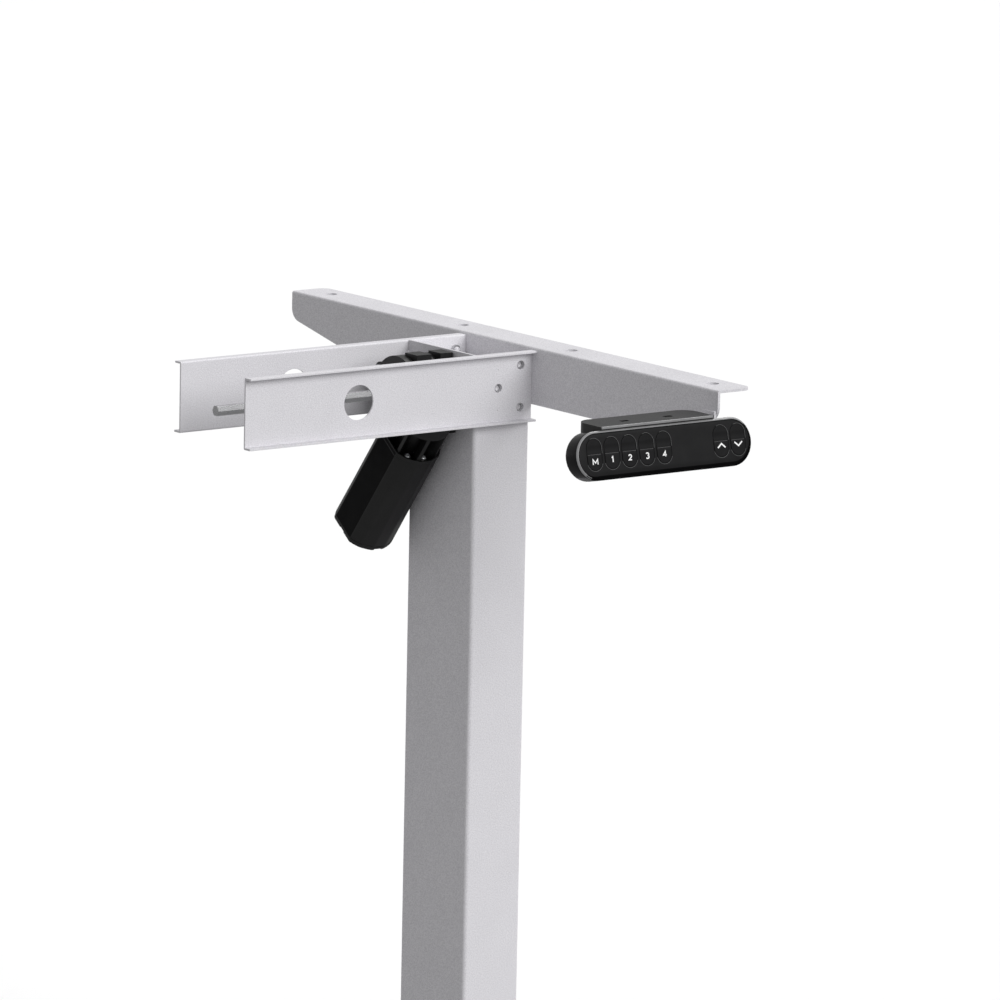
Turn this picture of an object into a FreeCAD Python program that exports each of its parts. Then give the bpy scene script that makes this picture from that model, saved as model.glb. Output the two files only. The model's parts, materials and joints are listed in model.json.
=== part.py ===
"""Motorised lifting column of a sit-stand desk frame, with its beam rails and handset.

Millimetres, +Z up, -Y the user's side. The origin is the centre of the foot plate's
underside, on the column's axis. A worm gear motor turns a hexagonal rod along X, a
bevel pair turns the lead screw, and the screw lifts the outer tube off the inner one.
"""
import FreeCAD
import Part
import math
import os
import re

import Sketcher
from FreeCAD import Placement, Rotation, Vector

doc = FreeCAD.newDocument("lifting_column")
sheet = doc.addObject("Spreadsheet::Sheet", "Dims")

DIMENSIONS = {
    # column
    "beam_top": 640,
    "tube_depth": 80,
    "tube_width": 50,
    "tube_wall": 1.5,
    "tube_corner": 3,
    "tube_bottom": 40,
    "head_drop": 16,
    "head_thick": 2,
    "head_half_x": 24.5,
    "head_half_y": 39.8,
    "glide_gap": 2.5,
    "glide_slack": 0.3,
    "inner_wall": 2,
    "inner_top": 578,
    "foot_thick": 6,
    "foot_width": 84,
    "foot_depth": 120,
    "foot_hole_x": 28,
    "foot_hole_y": 50,
    "foot_hole_radius": 3.4,
    # beam rails, bulkhead and side bracket
    "rail_height": 52,
    "rail_sheet": 1.5,
    "rail_lip": 6.2,
    "rail_left": 229,
    "rail_right": 25,
    "rail_hole_radius": 3.25,
    "rivet_end": 10,
    "rivet_inner": 30,
    "rivet_high": 10.4,
    "rivet_low": 41.5,
    "rivet_middle": 26,
    "rivet_sink": 0.9,
    "rivet_bore": 2.3,
    "rivet_tail": 2.2,
    "rivet_bulge": 3.5,
    "window_x": 129.6,
    "window_radius": 12.8,
    "bulkhead_thick": 2,
    "bracket_thick": 2,
    "bracket_rise": 2,
    "bracket_half": 262.5,
    "bracket_flange": 31,
    "bracket_web": 42,
    "bracket_tip": 20.5,
    "bracket_taper": 100,
    "bracket_corner": 8,
    "bracket_tip_corner": 10,
    "desk_hole_x": 41,
    "desk_hole_near": 67,
    "desk_hole_far": 235,
    "desk_hole_radius": 5,
    # drive: hexagonal rod, worm gear and bevel gears
    "rod_drop": 30,
    "rod_flats": 7,
    "rod_left": 226,
    "gear_x": -47,
    "case_radius": 27,
    "case_half": 20,
    "case_step": 10,
    "ear_radius": 6,
    "case_screw": 2.05,
    "case_bore": 8.6,
    "bush_bore": 4.2,
    "bush_length": 6,
    "wheel_room_radius": 13.2,
    "wheel_room_half": 14,
    "worm_room_radius": 6.4,
    "screw_head": 4,
    "screw_head_thick": 2.8,
    "far_length": 80,
    "worm_offset": 17.3,
    "motor_tilt": 38,
    "rim_drop": 33.5,
    "cover_length": 95,
    "cover_radius": 23.5,
    "cover_flat": 20,
    "cover_wall": 1.6,
    "can_radius": 17.5,
    "can_length": 77,
    "can_wall": 1.5,
    "magnet_thick": 3,
    "shaft_radius": 2,
    "armature_radius": 12.6,
    "commutator_radius": 5.5,
    "worm_radius": 4.9,
    "worm_half": 12,
    "cap_disc": 4,
    "cap_plug": 3,
    "lug_width": 15,
    "lug_height": 15,
    "lug_side": 13,
    "lug_gap_end": 8,
    "cover_start": 13,
    "screw_radius": 8,
    "screw_low": 60,
    "bevel_drop": 54,
    "housing_height": 24,
    "housing_lid": 14,
    "housing_width": 44,
    "housing_depth": 56,
    "bevel_room": 13,
    "bearing_radius": 10.4,
    "bearing_height": 6,
    "journal_radius": 6,
    "spigot_radius": 4,
    "bevel_head": 3.4,
    "bevel_head_thick": 2.6,
    "bevel_back": 11,
    "bevel_radius": 9.5,
    "running_gap": 0.05,
    # handset
    "handset_x": -36,
    "handset_y": -281.6,
    "handset_drop": 31.4,
    "handset_lean": 12,
    "handset_length": 155,
    "handset_height": 35,
    "handset_depth": 15.4,
    "face_thick": 2.2,
    "plug_width": 11,
    "plug_height": 3.6,
    "plug_left": 58.5,
    "board_gap": 4.4,
    "board_thick": 1.6,
    "post_radius": 2.5,
    "post_inset": 8,
    "stem_radius": 2,
    "cap_proud": 0.1,
    "cap_gap": 0.3,
    "shell_wall": 1.8,
    "key_width": 12.6,
    "key_height": 22.4,
    "key_slack": 0.35,
    "key_rise": 1,
    "mount_x": -40.5,
    "mount_top_drop": 12,
    "mount_width": 100.4,
    "mount_depth": 31,
    "mount_thick": 8,
    "mount_back": -247,
    "mount_corner": 12,
    "mount_slot_half": 19.3,
    "mount_slot_inset": 17.5,
    "mount_screw_inset": 6.5,
    "mount_screw": 1.5,
    "slot_length": 7,
    "slot_width": 4.4,
    "slot_deep": 1.6,
    "strap_left": 84,
    "strap_width": 14,
    "strap_thick": 2,
    "strap_rise": 9,
}

for line, (alias, size) in enumerate(DIMENSIONS.items(), start=1):
    sheet.set(f"A{line}", alias)
    sheet.set(f"B{line}", str(size))
    sheet.setAlias(f"B{line}", alias)
doc.recompute()

WORD = re.compile(r"[a-z]+(?:_[a-z]+)+")
made = []


def formula(text):
    """A sheet expression: every alias in the text gets the sheet's name before it."""
    return WORD.sub(lambda word: "Dims." + word.group(0), str(text))


def value(text):
    """The number that an expression over the sheet's cells has now."""
    names = {word: DIMENSIONS[word] for word in WORD.findall(str(text))}
    result = str(text)
    for word in sorted(names, key=len, reverse=True):
        result = re.sub(rf"\b{word}\b", repr(float(names[word])), result)
    total = 0.0
    for sign, term in re.findall(r"([+-]?)\s*([0-9.eE*/ ]+)", result):
        product = 1.0
        for operation, factor in re.findall(r"([*/]?)\s*([0-9.]+)", term):
            product = product / float(factor) if operation == "/" else product * float(factor)
        total += -product if sign == "-" else product
    return total


def bind(piece, **sizes):
    """Binds properties of an object to expressions over the sheet."""
    for name, text in sizes.items():
        piece.setExpression(name.replace("__", "."), formula(text))


def put(piece, at, turn=None, angle=None):
    """Turns a piece about an axis and sets its base point to bound expressions."""
    if turn is not None:
        piece.Placement = Placement(Vector(), Rotation(turn, value(angle)))
        piece.setExpression("Placement.Rotation.Angle", formula(angle))
    for axis, text in zip("xyz", at):
        piece.setExpression("Placement.Base." + axis, formula(text))
    return piece


TURNS = {"x": (Vector(0, 1, 0), 90), "y": (Vector(1, 0, 0), -90)}


def box(name, sizes, at):
    piece = doc.addObject("Part::Box", name)
    bind(piece, Length=sizes[0], Width=sizes[1], Height=sizes[2])
    return put(piece, at)


def rod(name, radius, length, at, along="z"):
    """A cylinder from its base point along an axis."""
    piece = doc.addObject("Part::Cylinder", name)
    bind(piece, Radius=radius, Height=length)
    if along in TURNS:
        piece.Placement = Placement(Vector(), Rotation(*TURNS[along]))
    return put(piece, at)


def cone(name, low, high, length, at, along="z"):
    piece = doc.addObject("Part::Cone", name)
    bind(piece, Radius1=low, Radius2=high, Height=length)
    if along in TURNS:
        piece.Placement = Placement(Vector(), Rotation(*TURNS[along]))
    return put(piece, at)


def prism(name, sides, flats, length, at, along="z"):
    """A regular prism, its size given across the flats."""
    piece = doc.addObject("Part::Prism", name)
    piece.Polygon = sides
    bind(piece, Circumradius=f"({flats}) / 2 / cos(180 / {sides})", Height=length)
    if along in TURNS:
        piece.Placement = Placement(Vector(), Rotation(*TURNS[along]))
    return put(piece, at)


def join(name, *pieces):
    piece = doc.addObject("Part::MultiFuse", name)
    piece.Shapes = list(pieces)
    return piece


def cut(name, base, *tools):
    piece = doc.addObject("Part::Cut", name)
    piece.Base = base
    piece.Tool = tools[0] if len(tools) == 1 else join(name + "_tools", *tools)
    return piece


def common(name, first, second):
    piece = doc.addObject("Part::MultiCommon", name)
    piece.Shapes = [first, second]
    return piece


def node(name, piece):
    """Names a finished sub-part; its label is its file's name."""
    piece.Label = name
    made.append(piece)
    return piece


def group(name, pieces):
    """Several separate solids of one kind, kept in one sub-part."""
    piece = doc.addObject("Part::Compound", name + "_group")
    piece.Links = list(pieces)
    return node(name, piece)


def new_body(name):
    body = doc.addObject("PartDesign::Body", name + "_body")
    return body


def sketch_on(body, role, offset=None):
    """A sketch on one of the body's own origin planes, moved out by a bound offset."""
    plane = next(item for item in body.Origin.OriginFeatures if item.Role == role)
    sketch = body.newObject("Sketcher::SketchObject", body.Name + "_sketch")
    sketch.AttachmentSupport = [(plane, "")]
    sketch.MapMode = "FlatFace"
    if offset is not None:
        sketch.setExpression("AttachmentOffset.Base.z", formula(offset))
    return sketch


def pin_point(sketch, edge, end, x, y):
    """Holds one sketch point by its bound distances from the sketch's origin."""
    for kind, text in (("DistanceX", x), ("DistanceY", y)):
        index = sketch.addConstraint(Sketcher.Constraint(kind, -1, 1, edge, end, value(text)))
        sketch.setExpression(f"Constraints[{index}]", formula(text))


def draw_outline(sketch, points):
    """A closed polygon whose corners are bound expressions."""
    corners = [Vector(value(x), value(y), 0) for x, y in points]
    first = sketch.GeometryCount
    for index, corner in enumerate(corners):
        following = corners[(index + 1) % len(corners)]
        sketch.addGeometry(Part.LineSegment(corner, following), False)
    for index in range(len(corners)):
        here = first + index
        following = first + (index + 1) % len(corners)
        sketch.addConstraint(Sketcher.Constraint("Coincident", here, 2, following, 1))
    for index, (x, y) in enumerate(points):
        pin_point(sketch, first + index, 1, x, y)


def draw_circle(sketch, x, y, radius):
    centre = Vector(value(x), value(y), 0)
    edge = sketch.addGeometry(Part.Circle(centre, Vector(0, 0, 1), value(radius)), False)
    pin_point(sketch, edge, 3, x, y)
    index = sketch.addConstraint(Sketcher.Constraint("Radius", edge, value(radius)))
    sketch.setExpression(f"Constraints[{index}]", formula(radius))


def pad(body, role, points, length, offset=None):
    sketch = sketch_on(body, role, offset)
    draw_outline(sketch, points)
    feature = body.newObject("PartDesign::Pad", body.Name + "_pad")
    feature.Profile = sketch
    bind(feature, Length=length)
    doc.recompute()
    return feature


def pierce(body, role, circles=(), outlines=()):
    """Cuts circles and outlines right through the body, both ways."""
    sketch = sketch_on(body, role)
    for x, y, radius in circles:
        draw_circle(sketch, x, y, radius)
    for points in outlines:
        draw_outline(sketch, points)
    before = body.Shape.Volume
    feature = body.newObject("PartDesign::Pocket", body.Name + "_pocket")
    feature.Profile = sketch
    feature.Type = "ThroughAll"
    feature.SideType = "Symmetric"
    doc.recompute()
    if not feature.Shape.Volume < before - 1e-6:
        raise ValueError(f"{body.Name}: a pocket cut nothing")
    return feature


def round_edges(body, feature, chosen, radius):
    """Rounds the edges of a feature that the test picks."""
    names = []
    for index, edge in enumerate(feature.Shape.Edges, start=1):
        if chosen(edge):
            names.append(f"Edge{index}")
    fillet = body.newObject("PartDesign::Fillet", body.Name + "_fillet")
    fillet.Base = (feature, names)
    bind(fillet, Radius=radius)
    doc.recompute()
    return fillet


def runs_along(edge, axis):
    """Whether a straight edge runs along the named axis."""
    if not isinstance(edge.Curve, (Part.Line, Part.LineSegment)):
        return False
    direction = edge.tangentAt(edge.FirstParameter)
    return abs(getattr(direction, axis)) > 0.999


def rectangle(half_x, half_y, inset="0"):
    """Corner points of a rectangle about the origin, drawn in by an inset."""
    right = f"{half_x} - {inset}"
    left = f"-{half_x} + {inset}"
    rear = f"{half_y} - {inset}"
    front = f"-{half_y} + {inset}"
    return [(left, front), (right, front), (right, rear), (left, rear)]


def tube(name, half_x, half_y, wall, bottom, length):
    """An upright rectangular tube with rounded corners."""
    body = new_body(name)
    block = pad(body, "XY_Plane", rectangle(half_x, half_y), length, bottom)
    round_edges(body, block, lambda edge: runs_along(edge, "z"), "tube_corner")
    hollow = pierce(body, "XY_Plane", outlines=[rectangle(half_x, half_y, wall)])

    def inside(edge):
        middle = edge.CenterOfMass
        return (runs_along(edge, "z") and abs(middle.x) < value(half_x) - value(wall) / 2
                and abs(middle.y) < value(half_y) - value(wall) / 2
                and abs(abs(middle.x) - value(half_x) + value(wall)) < 0.01)

    round_edges(body, hollow, inside, "tube_corner - 1.4")
    return body


# ---------------------------------------------------------------- lower column

def make_foot_plate():
    body = new_body("foot")
    plate = pad(body, "XY_Plane", rectangle("foot_width / 2", "foot_depth / 2"), "foot_thick")
    round_edges(body, plate, lambda edge: runs_along(edge, "z"), "tube_corner + 3")
    holes = [(x, y, "foot_hole_radius") for x in ("foot_hole_x", "-foot_hole_x")
             for y in ("foot_hole_y", "-foot_hole_y")]
    pierce(body, "XY_Plane", circles=holes)
    node("foot_plate", body)


INNER_X = "tube_width / 2 - tube_wall - glide_gap"
INNER_Y = "tube_depth / 2 - tube_wall - glide_gap"
SCREW_HOLE = "screw_radius + running_gap"


def make_inner_tube():
    block = box("inner_block", (f"2 * ({INNER_X})", f"2 * ({INNER_Y})", "inner_top - foot_thick"),
                (f"-({INNER_X})", f"-({INNER_Y})", "foot_thick"))
    rounded = doc.addObject("Part::Fillet", "inner_rounded")
    rounded.Base = block
    doc.recompute()
    uprights = [index for index, edge in enumerate(block.Shape.Edges, start=1)
                if runs_along(edge, "z")]
    rounded.Edges = [(index, 3.0, 3.0) for index in uprights]
    hollow = box("inner_hollow",
                 (f"2 * ({INNER_X} - inner_wall)", f"2 * ({INNER_Y} - inner_wall)", "inner_top"),
                 (f"-({INNER_X} - inner_wall)", f"-({INNER_Y} - inner_wall)", "0"))
    node("inner_tube", cut("inner_cut", rounded, hollow))


def make_nut():
    """The nut sits in a moulded holder that plugs the inner tube's top."""
    plug = box("holder_plug",
               (f"2 * ({INNER_X} - inner_wall)", f"2 * ({INNER_Y} - inner_wall)", "22"),
               (f"-({INNER_X} - inner_wall)", f"-({INNER_Y} - inner_wall)", "inner_top - 22"))
    rim = box("holder_rim", (f"2 * ({INNER_X})", f"2 * ({INNER_Y})", "3"),
              (f"-({INNER_X})", f"-({INNER_Y})", "inner_top"))
    seat = rod("holder_seat", "14", "40", ("0", "0", "inner_top - 30"))
    node("nut_holder", cut("holder_cut", join("holder_whole", plug, rim), seat))
    barrel = rod("nut_barrel", "14", "25", ("0", "0", "inner_top - 22"))
    flange = rod("nut_flange", "17", "2", ("0", "0", "inner_top - 24"))
    bore = rod("nut_bore", SCREW_HOLE, "40", ("0", "0", "inner_top - 30"))
    node("lead_nut", cut("nut_cut", join("nut_whole", barrel, flange), bore))


def make_upper_glides():
    """Four acetal pads at the inner tube's top run inside the outer tube."""
    thick = "(glide_gap - glide_slack)"
    low = "inner_top - 46"
    pads = []
    for sign, side in (("", "right"), ("-", "left")):
        start = INNER_X if not sign else f"-({INNER_X}) - {thick}"
        pads.append(box(f"glide_{side}", (thick, "56", "40"), (start, "-28", low)))
    for sign, side in (("", "rear"), ("-", "front")):
        start = INNER_Y if not sign else f"-({INNER_Y}) - {thick}"
        pads.append(box(f"glide_{side}", ("28", thick, "40"), ("-14", start, low)))
    group("upper_glides", pads)


# ---------------------------------------------------------------- upper column

TUBE_TOP = "beam_top - head_drop"
TUBE_LENGTH = "beam_top - head_drop - tube_bottom"


def make_outer_tube():
    body = tube("outer", "tube_width / 2", "tube_depth / 2", "tube_wall", "tube_bottom",
                TUBE_LENGTH)
    round_rod = ("0", "beam_top - rod_drop", "6.5")
    sketch = sketch_on(body, "YZ_Plane")
    draw_circle(sketch, *round_rod)
    pocket = body.newObject("PartDesign::Pocket", "outer_rod_hole")
    pocket.Profile = sketch
    pocket.Type = "ThroughAll"
    doc.recompute()
    middle_x = pocket.Shape.Solids[0].CenterOfMass.x
    if middle_x <= 0:
        raise ValueError("the rod's hole is not in the tube's left wall")
    holes = [("rail_right - rivet_end", "beam_top - rivet_low", "rail_hole_radius"),
             ("rail_right - rivet_inner", "beam_top - rivet_middle", "rail_hole_radius")]
    pierce(body, "XZ_Plane", circles=holes)
    node("outer_tube", body)


def make_glide_collar():
    """The collar closes the outer tube's mouth round the inner tube."""
    outer_x = "tube_width / 2 - tube_wall"
    outer_y = "tube_depth / 2 - tube_wall"
    sleeve = box("collar_sleeve", (f"2 * ({outer_x})", f"2 * ({outer_y})", "40"),
                 (f"-({outer_x})", f"-({outer_y})", "tube_bottom"))
    lip = box("collar_lip", ("tube_width", "tube_depth", "3"),
              ("-tube_width / 2", "-tube_depth / 2", "tube_bottom - 3"))
    way_x = f"{INNER_X} + glide_slack"
    way_y = f"{INNER_Y} + glide_slack"
    way = box("collar_way", (f"2 * ({way_x})", f"2 * ({way_y})", "60"),
              (f"-({way_x})", f"-({way_y})", "tube_bottom - 10"))
    node("glide_collar", cut("collar_cut", join("collar_whole", sleeve, lip), way))


def make_column_head():
    """A plate closes the tube's top and carries the bevel gearbox under it."""
    body = new_body("head")
    pad(body, "XY_Plane", rectangle("head_half_x", "head_half_y"),
        "head_thick", TUBE_TOP)
    ways = [("0", "0", "6")]
    ways += [(x, y, "2.05") for x, y in BEVEL_SCREWS]
    pierce(body, "XY_Plane", circles=ways)
    node("column_head", body)


RIVETS = [
    ("rail_right - rivet_end", "beam_top - rivet_high", "tube_depth / 2"),
    ("rail_right - rivet_end", "beam_top - rivet_low", "tube_depth / 2 - tube_wall"),
    ("rail_right - rivet_inner", "beam_top - rivet_middle", "tube_depth / 2 - tube_wall"),
]


def make_rails():
    """Two channels, their webs on the tube's faces and their lips turned outwards."""
    web = "tube_depth / 2"
    for name, sign in (("front", "-"), ("rear", "")):
        inside = web
        outside = f"{web} + rail_sheet"
        tip = f"{web} + rail_sheet + rail_lip"
        other = "-" if sign else ""

        def across(text, mark=sign):
            return "-" + text.replace(" + ", " - ") if mark else text

        base = "beam_top - rail_height"
        outline = [
            (across(inside), base),
            (across(tip), base),
            (across(tip), "beam_top - rail_height + rail_sheet"),
            (across(outside), "beam_top - rail_height + rail_sheet"),
            (across(outside), "beam_top - rail_sheet"),
            (across(tip), "beam_top - rail_sheet"),
            (across(tip), "beam_top"),
            (across(inside), "beam_top"),
        ]
        body = new_body("rail_" + name)
        channel = pad(body, "YZ_Plane", outline, "rail_left + rail_right", "-rail_left")

        def fold(edge, sheet_edge=value(inside)):
            middle = edge.CenterOfMass
            return runs_along(edge, "x") and abs(abs(middle.y) - sheet_edge) < 0.01

        round_edges(body, channel, fold, "rail_sheet - 0.2")
        holes = [(x, z, "rail_hole_radius") for x, z, inner in RIVETS]
        holes.append(("-window_x", "beam_top - rail_height / 2", "window_radius"))
        pierce(body, "XZ_Plane", circles=holes)
        node("rail_" + name, body)


def make_rail_rivets():
    """Rivet nuts, sunk under the webs' faces, hold the rails on the tube."""
    outer = "tube_depth / 2 + rail_sheet - rivet_sink"
    nuts = []
    for side, sign in (("front", -1), ("rear", 1)):
        for index, (x, z, inner) in enumerate(RIVETS):
            tag = f"rivet_{side}_{index}"
            end = f"{inner} - rivet_tail"
            low = f"-({outer})" if sign < 0 else f"{inner}"
            tail_low = f"-({inner})" if sign < 0 else end
            bore_low = f"-({outer})" if sign < 0 else end
            shank = rod(tag + "_shank", "rail_hole_radius", f"{outer} - ({inner})",
                        (x, low, z), "y")
            tail = rod(tag + "_tail", "rivet_bulge", "rivet_tail", (x, tail_low, z), "y")
            bore = rod(tag + "_bore", "rivet_bore", f"{outer} - ({end})", (x, bore_low, z), "y")
            nuts.append(cut(tag, join(tag + "_whole", shank, tail), bore))
    group("rail_rivets", nuts)


def make_bulkhead():
    body = new_body("bulkhead")
    half = "tube_depth / 2"
    outline = [
        (f"-{half}", "beam_top - rail_height"),
        (half, "beam_top - rail_height"),
        (half, "beam_top"),
        (f"-{half}", "beam_top"),
    ]
    pad(body, "YZ_Plane", outline, "bulkhead_thick", "-tube_width / 2 - bulkhead_thick")
    circles = [("0", "beam_top - rod_drop", "6.5")]
    circles += [(y, z, "2.05") for y, z in CASE_SCREWS]
    pierce(body, "YZ_Plane", circles=circles)
    node("bulkhead", body)


def make_side_bracket():
    """An angle along Y whose flange carries the desktop; both ends taper upwards."""
    left = "rail_right"
    web = new_body("bracket")
    top = "beam_top + bracket_rise"
    tip = "beam_top + bracket_rise - bracket_tip"
    low = "beam_top + bracket_rise - bracket_web"
    shoulder = "bracket_half - bracket_taper"
    outline = [
        ("-bracket_half", tip),
        (f"-{shoulder.replace(' - ', ' + ')}", low),
        (shoulder, low),
        ("bracket_half", tip),
        ("bracket_half", top),
        ("-bracket_half", top),
    ]
    leaf = pad(web, "YZ_Plane", outline, "bracket_thick", left)

    def tips(edge):
        middle = edge.CenterOfMass
        return (runs_along(edge, "x") and abs(middle.z - value(tip)) < 0.01
                and abs(abs(middle.y) - value("bracket_half")) < 0.01)

    round_edges(web, leaf, tips, "bracket_tip_corner")
    flange = new_body("flange")
    edge_x = "rail_right + bracket_flange"
    plan = [
        (left, "-bracket_half"),
        (edge_x, "-bracket_half"),
        (edge_x, "bracket_half"),
        (left, "bracket_half"),
    ]
    shelf = pad(flange, "XY_Plane", plan, "bracket_thick",
                "beam_top + bracket_rise - bracket_thick")

    def corners(edge):
        return runs_along(edge, "z") and abs(edge.CenterOfMass.x - value(edge_x)) < 0.01

    round_edges(flange, shelf, corners, "bracket_corner")
    places = [("desk_hole_x", f"{sign}{far}", "desk_hole_radius")
              for sign in ("", "-") for far in ("desk_hole_near", "desk_hole_far")]
    pierce(flange, "XY_Plane", circles=places)
    whole = join("bracket_whole", web, flange)
    whole.Refine = True
    doc.recompute()
    folded = doc.addObject("Part::Fillet", "bracket_folded")
    folded.Base = whole
    outer = []
    for index, edge in enumerate(whole.Shape.Edges, start=1):
        middle = edge.CenterOfMass
        if (runs_along(edge, "y") and abs(middle.x - value(left)) < 0.01
                and abs(middle.z - value(top)) < 0.01):
            outer.append((index, 1.8, 1.8))
    folded.Edges = outer
    node("side_bracket", folded)


# ---------------------------------------------------------------- bevel gearbox

ROD_Z = "beam_top - rod_drop"


def make_bevel_housing():
    """Two die-cast halves hang from the head plate round the bevel pair."""
    low = "beam_top - bevel_drop"
    halves = (("bevel_housing", low, "housing_height"),
              ("bevel_cover", f"{low} + housing_height", "housing_lid"))
    for name, base, high in halves:
        block = box(name + "_block", ("housing_width", "housing_depth", high),
                    ("-housing_width / 2", "-housing_depth / 2", base))
        room = rod(name + "_room", "bevel_room", "27", ("0", "0", f"{low} + bearing_height"))
        side = rod(name + "_side", "10.6", "19", ("-18.5", "0", ROD_Z), "x")
        entry = rod(name + "_entry", "7", "30", ("-30", "0", ROD_Z), "x")
        drop = rod(name + "_drop", "bearing_radius", "20", ("0", "0", f"{low} - 10"))
        tools = [room, side, entry]
        if name == "bevel_housing":
            tools.append(drop)
        corners = [rod(f"{name}_hole_{index}", "case_screw", "60", (x, y, f"{low} - 5"))
                   for index, (x, y) in enumerate(BEVEL_SCREWS)]
        node(name, cut(name + "_cut", block, *tools, *corners))
    screws = []
    for index, (x, y) in enumerate(BEVEL_SCREWS):
        shank = rod(f"bevel_shank_{index}", "case_screw", "40", (x, y, low))
        head = rod(f"bevel_head_{index}", "bevel_head", "bevel_head_thick",
                   (x, y, f"{low} - bevel_head_thick"))
        screws.append(join(f"bevel_screw_{index}", shank, head))
    group("bevel_screws", screws)
    ring = rod("bearing_ring", "bearing_radius", "bearing_height", ("0", "0", low))
    hole = rod("bearing_hole", "journal_radius + running_gap", "20", ("0", "0", f"{low} - 5"))
    node("spindle_bearing", cut("bearing_cut", ring, hole))


BEVEL_SCREWS = [("17", "23"), ("-17", "23"), ("17", "-23"), ("-17", "-23")]
CASE_SCREWS = [("-20", "beam_top - rod_drop + 14"), ("20", "beam_top - rod_drop + 14"),
               ("-24", "beam_top - rod_drop - 17"), ("20", "beam_top - rod_drop - 14")]


def bevel_gear(name, teeth, bore):
    """A 45 degree bevel gear on its own z axis, apex at z = 0 and back at -bevel_back.

    The teeth end just under the pitch cone, so the pair turns freely at any phase.
    """
    back = value("bevel_back")
    radius = value("bevel_radius")
    root = Part.makeCone(radius - 1.7, radius - 1.7 - 5, 5, Vector(0, 0, -back + 0.5))
    hub = Part.makeCylinder(radius - 2.2, 3, Vector(0, 0, -back - 2.2))
    blank = Part.makeCone(radius - 0.25, radius - 0.25 - 5, 5, Vector(0, 0, -back + 0.5))
    slots = []
    for index in range(teeth):
        slot = Part.makeBox(8, 1.5, 12, Vector(radius - 6.5, -0.75, -back - 1))
        slot.rotate(Vector(0, 0, 0), Vector(0, 0, 1), 360 / teeth * (index + 0.5))
        slots.append(slot)
    toothed = blank.cut(Part.makeCompound(slots))
    shape = toothed.fuse([root, hub]).cut(bore).removeSplitter()
    feature = doc.addObject("Part::Feature", name)
    feature.Shape = shape
    return feature


def make_bevel_gears():
    teeth = 16
    round_bore = Part.makeCylinder(4, 60, Vector(0, 0, -30))
    gear = bevel_gear("gear_on_screw", teeth, round_bore)
    gear.setExpression("Placement.Base.z", formula(ROD_Z))
    node("spindle_bevel_gear", gear)
    hexagon = hexagon_bar(value("rod_flats"), 60)
    hexagon.translate(Vector(0, 0, -30))
    pinion = bevel_gear("gear_on_rod", teeth, hexagon)
    pinion.Placement = Placement(Vector(), Rotation(Vector(0, 1, 0), 90))
    pinion.setExpression("Placement.Base.z", formula(ROD_Z))
    node("rod_bevel_gear", pinion)


def hexagon_bar(flats, length):
    """A hexagonal bar along z with a flat on the x side."""
    corner = flats / 2 / math.cos(math.pi / 6)
    points = [Vector(corner * math.cos(math.radians(60 * step + 30)),
                     corner * math.sin(math.radians(60 * step + 30)), 0) for step in range(7)]
    return Part.Face(Part.makePolygon(points)).extrude(Vector(0, 0, length))


def make_lead_screw():
    """The screw hangs in the bevel housing; its journal runs in the bearing."""
    journal_low = "beam_top - bevel_drop"
    thread = rod("screw_thread", "screw_radius", "beam_top - bevel_drop - 0.3 - screw_low",
                 ("0", "0", "screw_low"))
    journal = rod("screw_journal", "journal_radius", "8.2", ("0", "0", f"{journal_low} - 1"))
    spigot = rod("screw_spigot", "spigot_radius", "18", ("0", "0", f"{journal_low} - 1"))
    point = cone("screw_point", "screw_radius - 2", "screw_radius", "2",
                 ("0", "0", "screw_low - 2"))
    node("lead_screw", join("screw_whole", thread, journal, spigot, point))


# ---------------------------------------------------------------- worm gear motor

def make_drive_rod():
    bar = hexagon_bar(value("rod_flats"), value("rod_left - 6"))
    feature = doc.addObject("Part::Feature", "hexagon_rod")
    feature.Shape = bar
    feature.Placement = Placement(Vector(), Rotation(Vector(0, 1, 0), 90))
    feature.setExpression("Placement.Base.x", formula("-rod_left"))
    feature.setExpression("Placement.Base.z", formula(ROD_Z))
    node("drive_rod", feature)
    clips = []
    for tag, x in (("outer", "gear_x - case_half - 1.6"), ("inner", "gear_x + case_half + 2.8")):
        ring = rod(f"clip_{tag}_ring", "5.6", "1", (x, "0", ROD_Z), "x")
        hole = prism(f"clip_{tag}_hole", 6, "rod_flats", "3", (f"{x} - 1", "0", ROD_Z), "x")
        hole.Placement.Rotation = Rotation(Vector(0, 1, 0), 90).multiply(
            Rotation(Vector(0, 0, 1), 30))
        clips.append(cut(f"clip_{tag}", ring, hole))
    group("rod_circlips", clips)


def make_worm_wheel():
    """A toothed wheel on the rod; its tips stay just clear of the worm's root."""
    teeth = 24
    tip = 12.1
    root = 10.4
    width = 9
    wheel = Part.makeCylinder(root, width, Vector(0, 0, -width / 2))
    tooth_tops = []
    for index in range(teeth):
        tooth = Part.makeBox(tip - root + 1, 1.5, width, Vector(root - 1, -0.75, -width / 2))
        tooth.rotate(Vector(0, 0, 0), Vector(0, 0, 1), 360 / teeth * index)
        tooth_tops.append(tooth)
    hub = Part.makeCylinder(8, 26, Vector(0, 0, -13))
    bore = hexagon_bar(value("rod_flats"), 40)
    bore.translate(Vector(0, 0, -20))
    feature = doc.addObject("Part::Feature", "wheel_on_rod")
    feature.Shape = wheel.fuse(tooth_tops + [hub]).cut(bore).removeSplitter()
    feature.Placement = Placement(Vector(), Rotation(Vector(0, 1, 0), 90))
    feature.setExpression("Placement.Base.x", formula("gear_x"))
    feature.setExpression("Placement.Base.z", formula(ROD_Z))
    node("worm_wheel", feature)


MOTOR_AT = ("gear_x", "-worm_offset * cos(motor_tilt)",
            "beam_top - rod_drop - worm_offset * sin(motor_tilt)")


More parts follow.
